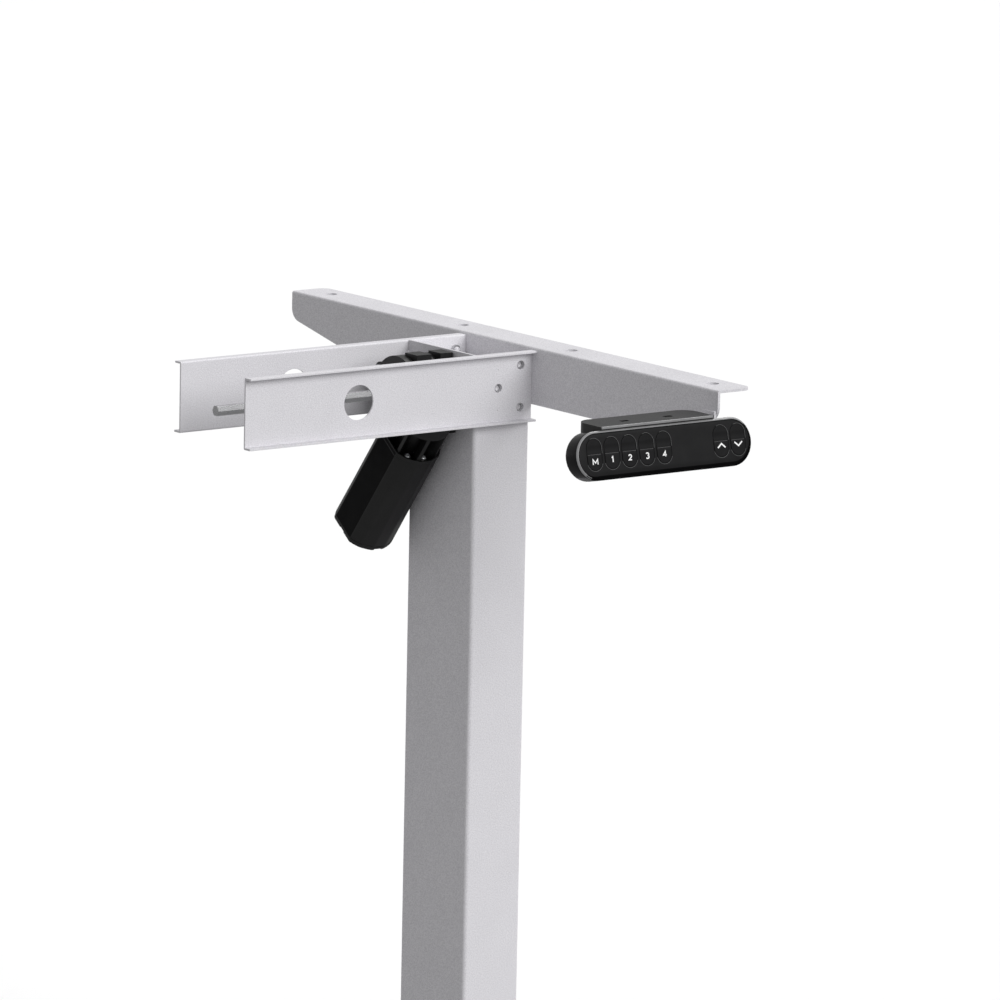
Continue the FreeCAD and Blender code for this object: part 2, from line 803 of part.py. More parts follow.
def on_motor(piece):
    """Tilts a piece made round its own z axis onto the motor's axis.

    In the motor's own axes z runs up along the shaft, the origin is where the shaft
    passes the rod, and the rod lies at y = worm_offset.
    """
    tilt = value("motor_tilt")
    piece.Placement = Placement(Vector(), Rotation(Vector(1, 0, 0), tilt))
    piece.setExpression("Placement.Rotation.Angle", formula("motor_tilt"))
    for axis, text in zip("xyz", MOTOR_AT):
        piece.setExpression("Placement.Base." + axis, formula(text))
    return piece


COVER_END = "-rim_drop - cover_length"


def flatted(name, radius, flat, low, length):
    """A cylinder along z with a flat on each x side."""
    round_part = rod(name + "_round", radius, length, ("0", "0", low))
    slab = box(name + "_slab", (f"2 * ({flat})", "80", length), (f"-({flat})", "-40", low))
    return common(name, round_part, slab)


def gear_drum(name, start, length):
    """A round gearbox shell about the rod, with its screws' ears."""
    drum = rod(name + "_drum", "case_radius", length, (start, "0", ROD_Z), "x")
    ears = [rod(f"{name}_ear_{index}", "ear_radius", length, (start, y, z), "x")
            for index, (y, z) in enumerate(CASE_SCREWS)]
    return [drum, *ears]


def gear_lug(name, start, length):
    """A lug on the gearbox's back, level with the beam's top."""
    return box(name, (length, "lug_width", "lug_height"),
               (start, "-lug_width - 1", "beam_top - 1 - lug_height"))


def make_gearbox():
    """The case holds the wheel and the worm; the cover closes it towards the bulkhead."""
    split = "gear_x + cover_start"
    neck = on_motor(flatted("case_neck", "cover_radius - cover_wall - 0.1",
                            "cover_flat - cover_wall - 0.1", "-rim_drop - case_step",
                            "rim_drop + 27"))
    lugs = [gear_lug("case_lug_left", "gear_x - lug_side", "lug_side"),
            gear_lug("case_lug_right", "gear_x + lug_gap_end", "cover_start - lug_gap_end")]
    limit = box("case_limit", ("case_half + cover_start", "160", "200"),
                ("gear_x - case_half", "-39", "beam_top - 200 - 1"))
    wheel_room = rod("wheel_room", "wheel_room_radius", "2 * wheel_room_half",
                     ("gear_x - wheel_room_half", "0", ROD_Z), "x")
    rod_way = rod("rod_way", "case_bore", "far_length", ("gear_x - far_length / 2", "0", ROD_Z), "x")
    worm_way = rod("worm_passage", "worm_room_radius", "rim_drop + 24",
                   ("0", "0", "-rim_drop - case_step"))
    motor_nose = rod("motor_nose_room", "9.2", "6", ("0", "0", "-rim_drop - case_step"))
    worm_room = on_motor(join("worm_room", worm_way, motor_nose))
    shell = gear_drum("gearbox_case", "gear_x - case_half", "case_half + cover_start")
    body = common("case_body", join("case_solid", *shell, neck, *lugs), limit)
    screw_ways = [rod(f"case_way_{index}", "case_screw", "far_length",
                      ("gear_x - far_length / 2", y, z), "x")
                  for index, (y, z) in enumerate(CASE_SCREWS)]
    node("gearbox_case", cut("case_cut", body, wheel_room, rod_way, worm_room, *screw_ways))
    lid = gear_drum("gearbox_cover", split, "case_half - cover_start")
    lug = gear_lug("cover_lug", split, "case_half - cover_start - 1")
    bore = rod("cover_bore", "case_bore", "far_length",
               ("gear_x - far_length / 2", "0", ROD_Z), "x")
    ways = [rod(f"cover_way_{index}", "case_screw", "far_length",
                ("gear_x - far_length / 2", y, z), "x")
            for index, (y, z) in enumerate(CASE_SCREWS)]
    foot = box("cover_foot", ("case_half - cover_start", "26", "30"),
               (split, "-20", "beam_top - rod_drop - 30"))
    node("gearbox_cover", cut("cover_cut", join("cover_solid", *lid, foot, lug), bore, *ways))
    screws = []
    for index, (y, z) in enumerate(CASE_SCREWS):
        shank = rod(f"case_shank_{index}", "case_screw", "case_half * 2 + bulkhead_thick - 0.2",
                    ("gear_x - case_half", y, z), "x")
        head = rod(f"case_head_{index}", "screw_head", "screw_head_thick",
                   ("gear_x - case_half - screw_head_thick", y, z), "x")
        screws.append(join(f"case_screw_{index}", shank, head))
    bushes = []
    for tag, x in (("outer", "gear_x - case_half"), ("inner", "gear_x + wheel_room_half")):
        ring = rod(f"bush_{tag}_ring", "case_bore", "bush_length", (x, "0", ROD_Z), "x")
        hole = rod(f"bush_{tag}_hole", "bush_bore", "20", (f"{x} - 5", "0", ROD_Z), "x")
        bushes.append(cut(f"bush_{tag}", ring, hole))
    group("rod_bushes", bushes)
    return screws


def make_motor_cover():
    """A thin moulded tube over the motor, open at the gearbox and capped below."""
    outer = flatted("shell_outer", "cover_radius", "cover_flat", COVER_END + " + cap_disc",
                    "cover_length - cap_disc")
    inner = flatted("shell_inner", "cover_radius - cover_wall", "cover_flat - cover_wall",
                    COVER_END, "cover_length + 10")
    node("motor_cover", on_motor(cut("shell_cut", outer, inner)))
    disc = flatted("cap_disc", "cover_radius", "cover_flat", COVER_END, "cap_disc")
    plug = flatted("cap_plug", "cover_radius - cover_wall", "cover_flat - cover_wall",
                   COVER_END + " + cap_disc", "cap_plug")
    hollow = rod("cap_hollow", "14", "20", ("0", "0", COVER_END + " + 2.5"))
    notches = [box(f"cap_notch_{index}", ("7", "8", "2.2"),
                   ("-3.5", "18" if index else "-26", COVER_END + " - 0.1")) for index in range(2)]
    node("motor_end_cap", on_motor(cut("cap_cut", join("cap_whole", disc, plug), hollow,
                                       *notches)))


def make_motor():
    """The direct-current motor: can, magnets, bearings, brushes and the rotor."""
    low = COVER_END + " + 8"
    high = low + " + can_length"
    can = rod("can_outer", "can_radius", "can_length", ("0", "0", low))
    room = rod("can_room", "can_radius - can_wall", "can_length - 2 * can_wall",
               ("0", "0", low + " + can_wall"))
    well = rod("can_well", "4.05", "20", ("0", "0", low + " - 5"))
    nose = rod("can_nose", "9", "20", ("0", "0", high + " - 7"))
    node("motor_can", on_motor(cut("can_cut", can, room, well, nose)))
    magnets = []
    for index in range(2):
        ring = rod(f"magnet_ring_{index}", "can_radius - can_wall", "can_length - 28",
                   ("0", "0", low + " + 4"))
        hole = rod(f"magnet_hole_{index}", "can_radius - can_wall - magnet_thick", "60", ("0", "0", low))
        half = box(f"magnet_half_{index}", ("14", "60", "60"),
                   ("3" if index else "-17", "-30", low))
        magnets.append(common(f"magnet_{index}", cut(f"magnet_arc_{index}", ring, hole), half))
    for magnet in magnets:
        on_motor(magnet)
    group("motor_magnets", magnets)
    bearings = []
    for tag, base in (("low", low), ("high", high + " - 2.5")):
        ring = rod(f"bearing_{tag}_ring", "4.05" if tag == "low" else "9", "2.5", ("0", "0", base))
        hole = rod(f"bearing_{tag}_hole", "shaft_radius + running_gap", "9", ("0", "0", base + " - 2"))
        bearings.append(on_motor(cut(f"bearing_{tag}", ring, hole)))
    group("motor_bearings", bearings)
    plate = rod("brush_plate", "can_radius - can_wall", "2", ("0", "0", high + " - 9"))
    gap = rod("brush_gap", "6.5", "20", ("0", "0", high + " - 17"))
    card = cut("brush_card", plate, gap)
    left = box("brush_left", ("6", "4", "4"), ("-12.5", "-2", high + " - 13"))
    right = box("brush_right", ("6", "4", "4"), ("6.5", "-2", high + " - 13"))
    node("brush_holder", on_motor(join("brush_whole", card, left, right)))
    shaft = rod("rotor_shaft", "shaft_radius", "can_length + 52", ("0", "0", low + " + 0.5"))
    tip = cone("rotor_tip", "shaft_radius", "shaft_radius - 0.6", "1", ("0", "0", high + " + 52.5"))
    node("motor_shaft", on_motor(join("shaft_whole", shaft, tip)))
    stack = rod("armature_stack", "armature_radius", "can_length - 36", ("0", "0", low + " + 8"))
    bore = rod("armature_bore", "shaft_radius", "60", ("0", "0", low))
    slots = []
    for index in range(5):
        slot = box(f"armature_slot_{index}", ("6", "2", "60"), ("8", "-1", low))
        slot.setExpression("Placement.Base.x", None)
        slot.setExpression("Placement.Base.y", None)
        turn = Rotation(Vector(0, 0, 1), 72 * index)
        slot.Placement = Placement(turn.multVec(Vector(8, -1, 0)), turn)
        slot.setExpression("Placement.Base.z", formula(low))
        slots.append(slot)
    node("motor_armature", on_motor(cut("armature_cut", stack, bore, *slots)))
    drum = rod("commutator_drum", "commutator_radius", "12", ("0", "0", high + " - 22"))
    hole = rod("commutator_hole", "shaft_radius", "40", ("0", "0", high + " - 32"))
    node("commutator", on_motor(cut("commutator_cut", drum, hole)))
    core = rod("worm_core", "worm_radius", "2 * worm_half", ("0", "0", "-worm_half"))
    way = rod("worm_way", "shaft_radius", "60", ("0", "0", "-30"))
    node("worm", on_motor(cut("worm_cut", core, way)))
    socket = box("socket_block", ("12", "9", "5"), ("-6", "-4.5", COVER_END + " + 2.5"))
    mouth = box("socket_mouth", ("9", "6", "5"), ("-4.5", "-3", COVER_END + " + 1"))
    node("motor_socket", on_motor(cut("socket_cut", socket, mouth)))


# ---------------------------------------------------------------- handset

HANDSET_AT = ("handset_x", "handset_y", "beam_top - handset_drop")
SHELL_CHAMFER = 1.2
KEYS = {
    "key_memory": 15.5, "key_one": 30.8, "key_two": 46.1, "key_three": 61.4,
    "key_four": 76.7, "key_up": 127.4, "key_down": 142.5,
}


def on_handset(piece):
    """Leans a piece made in the face's own axes: x along it, y up it, z out of it."""
    lean = value("90 - handset_lean")
    piece.Placement = Placement(Vector(), Rotation(Vector(1, 0, 0), lean))
    piece.setExpression("Placement.Rotation.Angle", formula("90 - handset_lean"))
    for axis, text in zip("xyz", HANDSET_AT):
        piece.setExpression("Placement.Base." + axis, formula(text))
    return piece


def pill(name, length, height, depth, base, x="0", y="0"):
    """A flat slab with round ends, centred on x and y."""
    reach = f"(({length}) - ({height})) / 2"
    middle = box(name + "_middle", (f"2 * {reach}", height, depth),
                 (f"{x} - {reach}", f"{y} - ({height}) / 2", base))
    left = rod(name + "_left", f"({height}) / 2", depth, (f"{x} - {reach}", y, base))
    right = rod(name + "_right", f"({height}) / 2", depth, (f"{x} + {reach}", y, base))
    return join(name, middle, left, right)


def capsule(name, width, height, depth, base, x, y):
    """An upright slab with round ends, centred on x and y."""
    reach = f"(({height}) - ({width})) / 2"
    middle = box(name + "_middle", (width, f"2 * {reach}", depth),
                 (f"{x} - ({width}) / 2", f"{y} - {reach}", base))
    low = rod(name + "_low", f"({width}) / 2", depth, (x, f"{y} - {reach}", base))
    high = rod(name + "_high", f"({width}) / 2", depth, (x, f"{y} + {reach}", base))
    return join(name, middle, low, high)


def chamfered(name, base_piece, width):
    """Bevels the front outline of a pill."""
    base_piece.Refine = True
    doc.recompute()
    top = base_piece.Shape.BoundBox.ZMax
    piece = doc.addObject("Part::Chamfer", name)
    piece.Base = base_piece
    edges = []
    for index, edge in enumerate(base_piece.Shape.Edges, start=1):
        box_of = edge.BoundBox
        if box_of.ZMin > top - 0.01:
            edges.append((index, width, width))
    piece.Edges = edges
    return piece


def make_handset():
    back = "-handset_depth"
    inner_length = "handset_length - 2 * shell_wall"
    inner_height = "handset_height - 2 * shell_wall"
    outer = chamfered("housing_outer",
                      pill("housing_pill", "handset_length", "handset_height",
                           "handset_depth", back), SHELL_CHAMFER)
    hollow = pill("housing_hollow", inner_length, inner_height, "handset_depth",
                  "shell_wall - handset_depth")
    plug = box("housing_plug_way", ("plug_width", "plug_height", "9"),
               ("-plug_left", "-plug_height / 2", f"{back} - 4"))
    node("handset_housing", on_handset(cut("housing_cut", outer, hollow, plug)))
    lens = pill("face_pill", inner_length, inner_height, "face_thick", "-face_thick")
    windows = []
    for name, place in KEYS.items():
        x = f"{place} - handset_length / 2"
        windows.append(capsule(name + "_window", "key_width + 2 * key_slack",
                               "key_height + 2 * key_slack", "10", "-5", x, "key_rise"))
    node("handset_face", on_handset(cut("face_cut", lens, *windows)))
    board_back = "-face_thick - board_gap"
    board = pill("board_pill", "handset_length - 2 * shell_wall - 1",
                 "handset_height - 2 * shell_wall - 1", "board_thick", board_back)
    post_left = rod("post_left", "post_radius", "20",
                    ("-handset_length / 2 + post_inset", "0", "-handset_depth"))
    post_right = rod("post_right", "post_radius", "20",
                     ("handset_length / 2 - post_inset", "0", "-handset_depth"))
    holder = cut("board_cut", board, post_left, post_right)
    node("handset_circuit_board", on_handset(holder))
    for name, place in KEYS.items():
        x = f"{place} - handset_length / 2"
        cap = capsule(name + "_cap", "key_width", "key_height", "face_thick - cap_gap",
                      "cap_proud - face_thick + cap_gap", x, "key_rise")
        stem = rod(name + "_stem", "stem_radius", "1",
                   (x, "key_rise", "cap_proud - face_thick - 2 * cap_gap"))
        node(name, on_handset(join(name + "_whole", cap, stem)))
    socket = box("plug_socket", ("14", "9", "6"), ("-60", "-4.5", "shell_wall - handset_depth"))
    mouth = box("plug_mouth", ("plug_width", "plug_height", "9"),
                ("-plug_left", "-plug_height / 2", "-handset_depth - 4.5"))
    node("handset_socket", on_handset(cut("socket_hollow", socket, mouth)))


def mount_places(inset):
    """Two places either side of the mount's middle, at a distance from its back edge."""
    return [(f"mount_x {sign} mount_slot_half", f"mount_back - {inset}") for sign in ("-", "+")]


def make_handset_mount():
    """A moulded plate over the handset: two sunk slots above, two screw holes below."""
    top = "beam_top - mount_top_drop"
    under = "beam_top - mount_top_drop - mount_thick"
    left = "mount_x - mount_width / 2"
    body = new_body("mount")
    front = "mount_back - mount_depth"
    plan = [
        (left, front),
        (f"{left} + mount_width", front),
        (f"{left} + mount_width", "mount_back"),
        (left, "mount_back"),
    ]
    slab = pad(body, "XY_Plane", plan, "mount_thick", under)

    def back_corners(edge):
        return runs_along(edge, "z") and edge.CenterOfMass.y > value("mount_back") - 0.01

    round_edges(body, slab, back_corners, "mount_corner")
    clearance = on_handset(pill("mount_clear", "handset_length", "handset_height",
                                "handset_depth + 0.2", "-handset_depth"))
    slots = []
    for index, (x, y) in enumerate(mount_places("mount_slot_inset")):
        slots.append(box(f"slot_{index}", ("slot_length", "slot_width", "3"),
                         (f"{x} - slot_length / 2", f"{y} - slot_width / 2",
                          f"{top} - slot_deep")))
    holes = [rod(f"mount_hole_{index}", "mount_screw", "6.5", (*at, f"{under} - 1"))
             for index, at in enumerate(mount_places("mount_screw_inset"))]
    node("handset_mount", cut("mount_cut", body, clearance, *slots, *holes))
    screws = []
    for index, at in enumerate(mount_places("mount_screw_inset")):
        shank = rod(f"mount_shank_{index}", "mount_screw", "7.5", (*at, f"{under} - 2"))
        head = rod(f"mount_head_{index}", "2 * mount_screw", "1.8", (*at, f"{under} - 3.8"))
        screws.append(join(f"mount_screw_{index}", shank, head))
    group("handset_screws", screws)


def make_handset_bracket():
    """A strap folded under the side bracket's front end carries the handset's mount."""
    under = "beam_top - mount_top_drop - mount_thick"
    shelf = box("strap_shelf", ("rail_right + strap_left", "strap_width", "strap_thick"),
                ("-strap_left", "mount_back - strap_width", f"{under} - strap_thick"))
    upright = box("strap_upright", ("strap_thick", "strap_width", "strap_rise"),
                  ("rail_right - strap_thick", "mount_back - strap_width",
                   f"{under} - strap_thick"))
    ways = [rod(f"strap_way_{index}", "mount_screw", "20", (*at, f"{under} - 10"))
            for index, at in enumerate(mount_places("mount_screw_inset"))]
    clearance = on_handset(pill("strap_clear", "handset_length + 1", "handset_height + 1",
                                "handset_depth + 1", "-handset_depth - 0.5"))
    node("handset_bracket", cut("strap_cut", join("strap_whole", shelf, upright), clearance,
                                *ways))


def build():
    make_foot_plate()
    make_inner_tube()
    make_nut()
    make_upper_glides()
    make_outer_tube()
    make_glide_collar()
    make_column_head()
    make_rails()
    make_rail_rivets()
    make_bulkhead()
    make_side_bracket()
    make_bevel_housing()
    make_bevel_gears()
    make_lead_screw()
    make_drive_rod()
    make_worm_wheel()
    screws = make_gearbox()
    group("gearbox_screws", screws)
    make_motor_cover()
    make_motor()
    make_handset()
    make_handset_mount()
    make_handset_bracket()


def check():
    """Stops on an object that failed or a sub-part without a valid shape."""
    doc.recompute()
    for item in doc.Objects:
        if {"Invalid", "Error"} & set(item.State):
            raise ValueError(f"{item.Name} ({item.Label}) failed: {item.State}")
    for piece in made:
        if piece.Shape.isNull() or not piece.Shape.isValid() or not piece.Shape.Solids:
            raise ValueError(f"{piece.Label} has no valid solid")


def write():
    os.makedirs("parts", exist_ok=True)
    for piece in made:
        piece.Shape.exportStep(f"parts/{piece.Label}.step")


build()
check()
write()
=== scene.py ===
import json
import math

import bmesh
import bpy
from mathutils import Matrix, Vector


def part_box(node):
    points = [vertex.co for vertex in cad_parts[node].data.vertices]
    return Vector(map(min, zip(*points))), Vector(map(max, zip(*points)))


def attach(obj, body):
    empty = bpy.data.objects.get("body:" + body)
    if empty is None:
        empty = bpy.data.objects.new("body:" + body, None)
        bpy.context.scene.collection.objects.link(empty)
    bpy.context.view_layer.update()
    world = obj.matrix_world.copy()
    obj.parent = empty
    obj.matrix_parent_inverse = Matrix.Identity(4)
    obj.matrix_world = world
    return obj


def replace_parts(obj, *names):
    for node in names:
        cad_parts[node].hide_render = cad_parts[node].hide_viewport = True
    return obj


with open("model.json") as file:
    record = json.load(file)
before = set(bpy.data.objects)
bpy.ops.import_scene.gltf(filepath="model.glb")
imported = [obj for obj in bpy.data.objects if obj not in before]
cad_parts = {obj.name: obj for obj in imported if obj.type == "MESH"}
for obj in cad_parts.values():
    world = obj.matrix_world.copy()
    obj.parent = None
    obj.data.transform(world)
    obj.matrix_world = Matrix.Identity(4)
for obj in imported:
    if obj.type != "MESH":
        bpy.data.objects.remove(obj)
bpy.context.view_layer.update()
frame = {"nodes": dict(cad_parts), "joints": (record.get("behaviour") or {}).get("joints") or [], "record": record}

NODES = frame["nodes"]
RECORD = frame["record"]
JOINTS = {joint["name"]: joint for joint in frame["joints"]}
SLOT_OF = {part["node"]: part["material_slot"] for part in RECORD["subparts"]}
MM = 0.001

# ------------------------------------------------------------------ places in the frame

UPPER = "upper_column"
KEYS = {
    "key_memory": "M", "key_one": "1", "key_two": "2", "key_three": "3",
    "key_four": "4", "key_up": "^", "key_down": "v",
}


def middle(node):
    """The centre of a CAD node's box."""
    low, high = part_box(node)
    return (Vector(low) + Vector(high)) / 2


def axes_frame(z_axis, origin):
    """A frame whose x stays along +X, given its z axis and origin."""
    z_axis = Vector(z_axis).normalized()
    x_axis = Vector((1, 0, 0))
    y_axis = z_axis.cross(x_axis).normalized()
    turn = Matrix((x_axis, y_axis, z_axis)).transposed().to_4x4()
    return Matrix.Translation(Vector(origin)) @ turn


press = Vector(JOINTS["key_memory_press"]["axis"]).normalized()
BOARD_DEPTH = 5.8 * MM
FACE = axes_frame(-press, middle("handset_circuit_board") - press * BOARD_DEPTH)
MOTOR = axes_frame(JOINTS["motor_spin"]["axis"], JOINTS["motor_spin"]["pos_m"])
BEAM_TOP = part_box("rail_front")[1][2]

# ------------------------------------------------------------------ materials


def new_material(name):
    """A material with its node tree, its shader and the object's own coordinates."""
    material = bpy.data.materials.new(name)
    material.use_nodes = True
    tree = material.node_tree
    shader = tree.nodes["Principled BSDF"]
    coords = tree.nodes.new("ShaderNodeTexCoord")
    return material, tree, shader, coords.outputs["Object"]


def noise(tree, vector, scale, detail=3.0, rough=0.55, stretch=None):
    """A noise value over the object, its scale in features per metre."""
    if stretch is not None:
        mapping = tree.nodes.new("ShaderNodeMapping")
        mapping.inputs["Scale"].default_value = stretch
        tree.links.new(vector, mapping.inputs["Vector"])
        vector = mapping.outputs["Vector"]
    texture = tree.nodes.new("ShaderNodeTexNoise")
    texture.inputs["Scale"].default_value = scale
    texture.inputs["Detail"].default_value = detail
    texture.inputs["Roughness"].default_value = rough
    tree.links.new(vector, texture.inputs["Vector"])
    return texture.outputs["Fac"]


def spread(tree, value, low, high, to_low, to_high):
    """Maps a value's range onto another, clamped."""
    node = tree.nodes.new("ShaderNodeMapRange")
    node.inputs["From Min"].default_value = low
    node.inputs["From Max"].default_value = high
    node.inputs["To Min"].default_value = to_low
    node.inputs["To Max"].default_value = to_high
    tree.links.new(value, node.inputs["Value"])
    return node.outputs["Result"]


def blend_colours(tree, value, first, second):
    """A colour between two, chosen by a value from 0 to 1."""
    node = tree.nodes.new("ShaderNodeMix")
    node.data_type = "RGBA"
    node.inputs["A"].default_value = (*first, 1)
    node.inputs["B"].default_value = (*second, 1)
    tree.links.new(value, node.inputs["Factor"])
    return node.outputs["Result"]


def bump(tree, shader, value, strength, distance, under=None):
    """Raises a value as relief on the shader's normal, over another relief if given."""
    node = tree.nodes.new("ShaderNodeBump")
    node.inputs["Strength"].default_value = strength
    node.inputs["Distance"].default_value = distance
    tree.links.new(value, node.inputs["Height"])
    if under is not None:
        tree.links.new(under, node.inputs["Normal"])
    tree.links.new(node.outputs["Normal"], shader.inputs["Normal"])
    return node.outputs["Normal"]


def painted(name, dark, light, roughness=(0.5, 0.62)):
    """Fine-textured powder coat: a speckle of two tones over an orange-peel surface."""
    material, tree, shader, where = new_material(name)
    speckle = noise(tree, where, 1300, 3.0, 0.75)
    cloud = noise(tree, where, 24, 3.0)
    tint = spread(tree, speckle, 0.40, 0.60, 0.0, 1.0)
    colour = blend_colours(tree, tint, dark, light)
    shade = tree.nodes.new("ShaderNodeMix")
    shade.data_type = "RGBA"
    shade.blend_type = "MULTIPLY"
    shade.inputs["Factor"].default_value = 1.0
    tree.links.new(colour, shade.inputs["A"])
    soft = spread(tree, cloud, 0.3, 0.7, 0.97, 1.0)
    tree.links.new(soft, shade.inputs["B"])
    tree.links.new(shade.outputs["Result"], shader.inputs["Base Color"])
    gloss = spread(tree, cloud, 0.3, 0.7, *roughness)
    tree.links.new(gloss, shader.inputs["Roughness"])
    shader.inputs["Specular IOR Level"].default_value = 0.35
    peel = noise(tree, where, 620, 2.0)
    under = bump(tree, shader, peel, 0.25, 0.0005)
    bump(tree, shader, speckle, 0.45, 0.0003, under)
    return material


def metal(name, dark, light, roughness, stretch, scale=900):
    """Worked metal with fine lines along one axis and slight stains."""
    material, tree, shader, where = new_material(name)
    lines = noise(tree, where, scale, 4.0, 0.6, stretch)
    cloud = noise(tree, where, 60, 4.0)
    colour = blend_colours(tree, spread(tree, cloud, 0.3, 0.7, 0.0, 1.0), dark, light)
    tree.links.new(colour, shader.inputs["Base Color"])
    shader.inputs["Metallic"].default_value = 1.0
    tree.links.new(spread(tree, lines, 0.25, 0.75, *roughness), shader.inputs["Roughness"])
    bump(tree, shader, lines, 0.25, 0.00008)
    return material


def moulded(name, dark, light, roughness, grain=2600, depth=0.00006, specular=0.3):
    """Moulded plastic with a fine spark-eroded grain and a faint flow mottle."""
    material, tree, shader, where = new_material(name)
    fine = noise(tree, where, grain, 2.0, 0.6)
    cloud = noise(tree, where, 90, 3.0)
    colour = blend_colours(tree, spread(tree, cloud, 0.3, 0.7, 0.0, 1.0), dark, light)
    tree.links.new(colour, shader.inputs["Base Color"])
    tree.links.new(spread(tree, fine, 0.3, 0.7, *roughness), shader.inputs["Roughness"])
    shader.inputs["Specular IOR Level"].default_value = specular
    bump(tree, shader, fine, 0.35, depth)
    return material


def circuit_green(name):
    """Solder mask over copper tracks that run along and across the board."""
    material, tree, shader, where = new_material(name)
    tracks = tree.nodes.new("ShaderNodeTexBrick")
    tracks.inputs["Scale"].default_value = 210
    tracks.inputs["Mortar Size"].default_value = 0.05
    tracks.inputs["Color1"].default_value = (0.010, 0.090, 0.030, 1)
    tracks.inputs["Color2"].default_value = (0.012, 0.100, 0.036, 1)
    tracks.inputs["Mortar"].default_value = (0.030, 0.190, 0.070, 1)
    tree.links.new(where, tracks.inputs["Vector"])
    tree.links.new(tracks.outputs["Color"], shader.inputs["Base Color"])
    shader.inputs["Roughness"].default_value = 0.28
    bump(tree, shader, tracks.outputs["Fac"], 0.3, 0.00004)
    return material


MATERIALS = {
    "powder_coat": painted("powder_coat", (0.60, 0.59, 0.62), (0.78, 0.77, 0.80)),
    "bright_steel": metal("bright_steel", (0.50, 0.50, 0.51), (0.62, 0.62, 0.63), (0.22, 0.40),
                          (1, 1, 0.02)),
    "rod_steel": metal("rod_steel", (0.47, 0.47, 0.48), (0.53, 0.53, 0.54), (0.24, 0.30),
                       (0.02, 1, 1)),
    "zinc_steel": metal("zinc_steel", (0.50, 0.51, 0.53), (0.66, 0.67, 0.68), (0.30, 0.48),
                        (1, 1, 1), 700),
    "cast_metal": metal("cast_metal", (0.22, 0.22, 0.23), (0.34, 0.34, 0.35), (0.50, 0.70),
                        (1, 1, 1), 1300),
    "brass_parts": metal("brass_parts", (0.52, 0.36, 0.14), (0.68, 0.50, 0.23), (0.26, 0.42),
                         (0.05, 1, 1)),
    "worm_steel": metal("worm_steel", (0.34, 0.34, 0.35), (0.46, 0.46, 0.47), (0.22, 0.36),
                        (1, 1, 0.1)),
    "copper_wire": metal("copper_wire", (0.50, 0.20, 0.07), (0.66, 0.28, 0.10), (0.25, 0.40),
                         (1, 1, 0.1)),
    "black_moulding": moulded("black_moulding", (0.003, 0.003, 0.0032),
                              (0.006, 0.006, 0.0062), (0.36, 0.52), specular=0.42),
    # The cover's black with far less shine: a painted shade for the motor cover's two flats.
    "painted_shade_flat": moulded("painted_shade_flat", (0.006, 0.006, 0.0062),
                          (0.009, 0.009, 0.0092), (0.50, 0.60), specular=0.04),
    "white_acetal": moulded("white_acetal", (0.72, 0.72, 0.69), (0.80, 0.80, 0.77),
                            (0.36, 0.48), 1500),
    "handset_shell": moulded("handset_shell", (0.004, 0.004, 0.0045), (0.007, 0.007, 0.0075),
                             (0.16, 0.26), 2400, 0.00003, 0.14),
    "handset_gloss": moulded("handset_gloss", (0.007, 0.007, 0.0075), (0.010, 0.010, 0.0105),
                             (0.46, 0.56), 3000, 0.00003, 0.12),
    "key_cap": moulded("key_cap", (0.007, 0.007, 0.0075), (0.009, 0.009, 0.0095), (0.50, 0.60),
                       3000, 0.00003, 0.10),
    # A pale grey on black mouldings, a painted highlight: the handset's top and left rim and the mount's front
    # lip.
    "painted_highlight_pale": moulded("painted_highlight_pale", (0.20, 0.20, 0.205), (0.26, 0.26, 0.265), (0.24, 0.34), 2400,
                        0.00002, 0.6),
    # A black darker and duller than the shell: painted shade on the bevel along the handset's lower edge.
    "painted_shade_black": moulded("painted_shade_black", (0.0010, 0.0010, 0.0011), (0.0020, 0.0020, 0.0021),
                           (0.45, 0.55), 2400, 0.00003, 0.02),
    # A dim grey on black mouldings, a painted highlight: the lines along the keys' window edges and steps.
    "painted_highlight_line": moulded("painted_highlight_line", (0.075, 0.075, 0.077), (0.100, 0.100, 0.102),
                          (0.24, 0.34), 2400, 0.00002, 0.5),
    "legend_white": moulded("legend_white", (0.86, 0.86, 0.86), (0.95, 0.95, 0.95),
                            (0.45, 0.55), 3000, 0.00002),
    "circuit_board": circuit_green("circuit_board"),
}

for node, thing in NODES.items():
    slot = "rod_steel" if node == "drive_rod" else SLOT_OF[node]
    thing.data.materials.clear()
    thing.data.materials.append(MATERIALS[slot])

# ------------------------------------------------------------------ mesh tools

CENTRE = 0.05 * MM      # a turned profile's points on its axis stand off it by this much
MERGE = 0.01 * MM
ROUNDED_ANGLE = math.radians(40)
CAPSULE_ARC = 14


def loose_mesh(name, verts, faces):
    """A mesh object with outward normals that rides on nothing yet, such as a cutter."""
    mesh = bpy.data.meshes.new(name)
    mesh.from_pydata([tuple(v) for v in verts], [], faces)
    tool = bmesh.new()
    tool.from_mesh(mesh)
    bmesh.ops.recalc_face_normals(tool, faces=tool.faces)
    tool.to_mesh(mesh)
    tool.free()
    thing = bpy.data.objects.new(name, mesh)
    bpy.context.scene.collection.objects.link(thing)
    return thing


def piece_from(name, verts, faces, body, look, slot, smooth=True):
    """Makes a mesh piece that rides on a body, from points in the row frame."""
    thing = loose_mesh(name, verts, faces)
    thing.data.materials.append(MATERIALS[look])
    if smooth:
        thing.data.shade_smooth()
    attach(thing, body)
    return thing


def apply_modifiers(thing):
    """Fixes a piece's modifiers into its mesh."""
    bpy.context.view_layer.update()
    graph = bpy.context.evaluated_depsgraph_get()
    done = bpy.data.meshes.new_from_object(thing.evaluated_get(graph))
    thing.modifiers.clear()
    thing.data = done


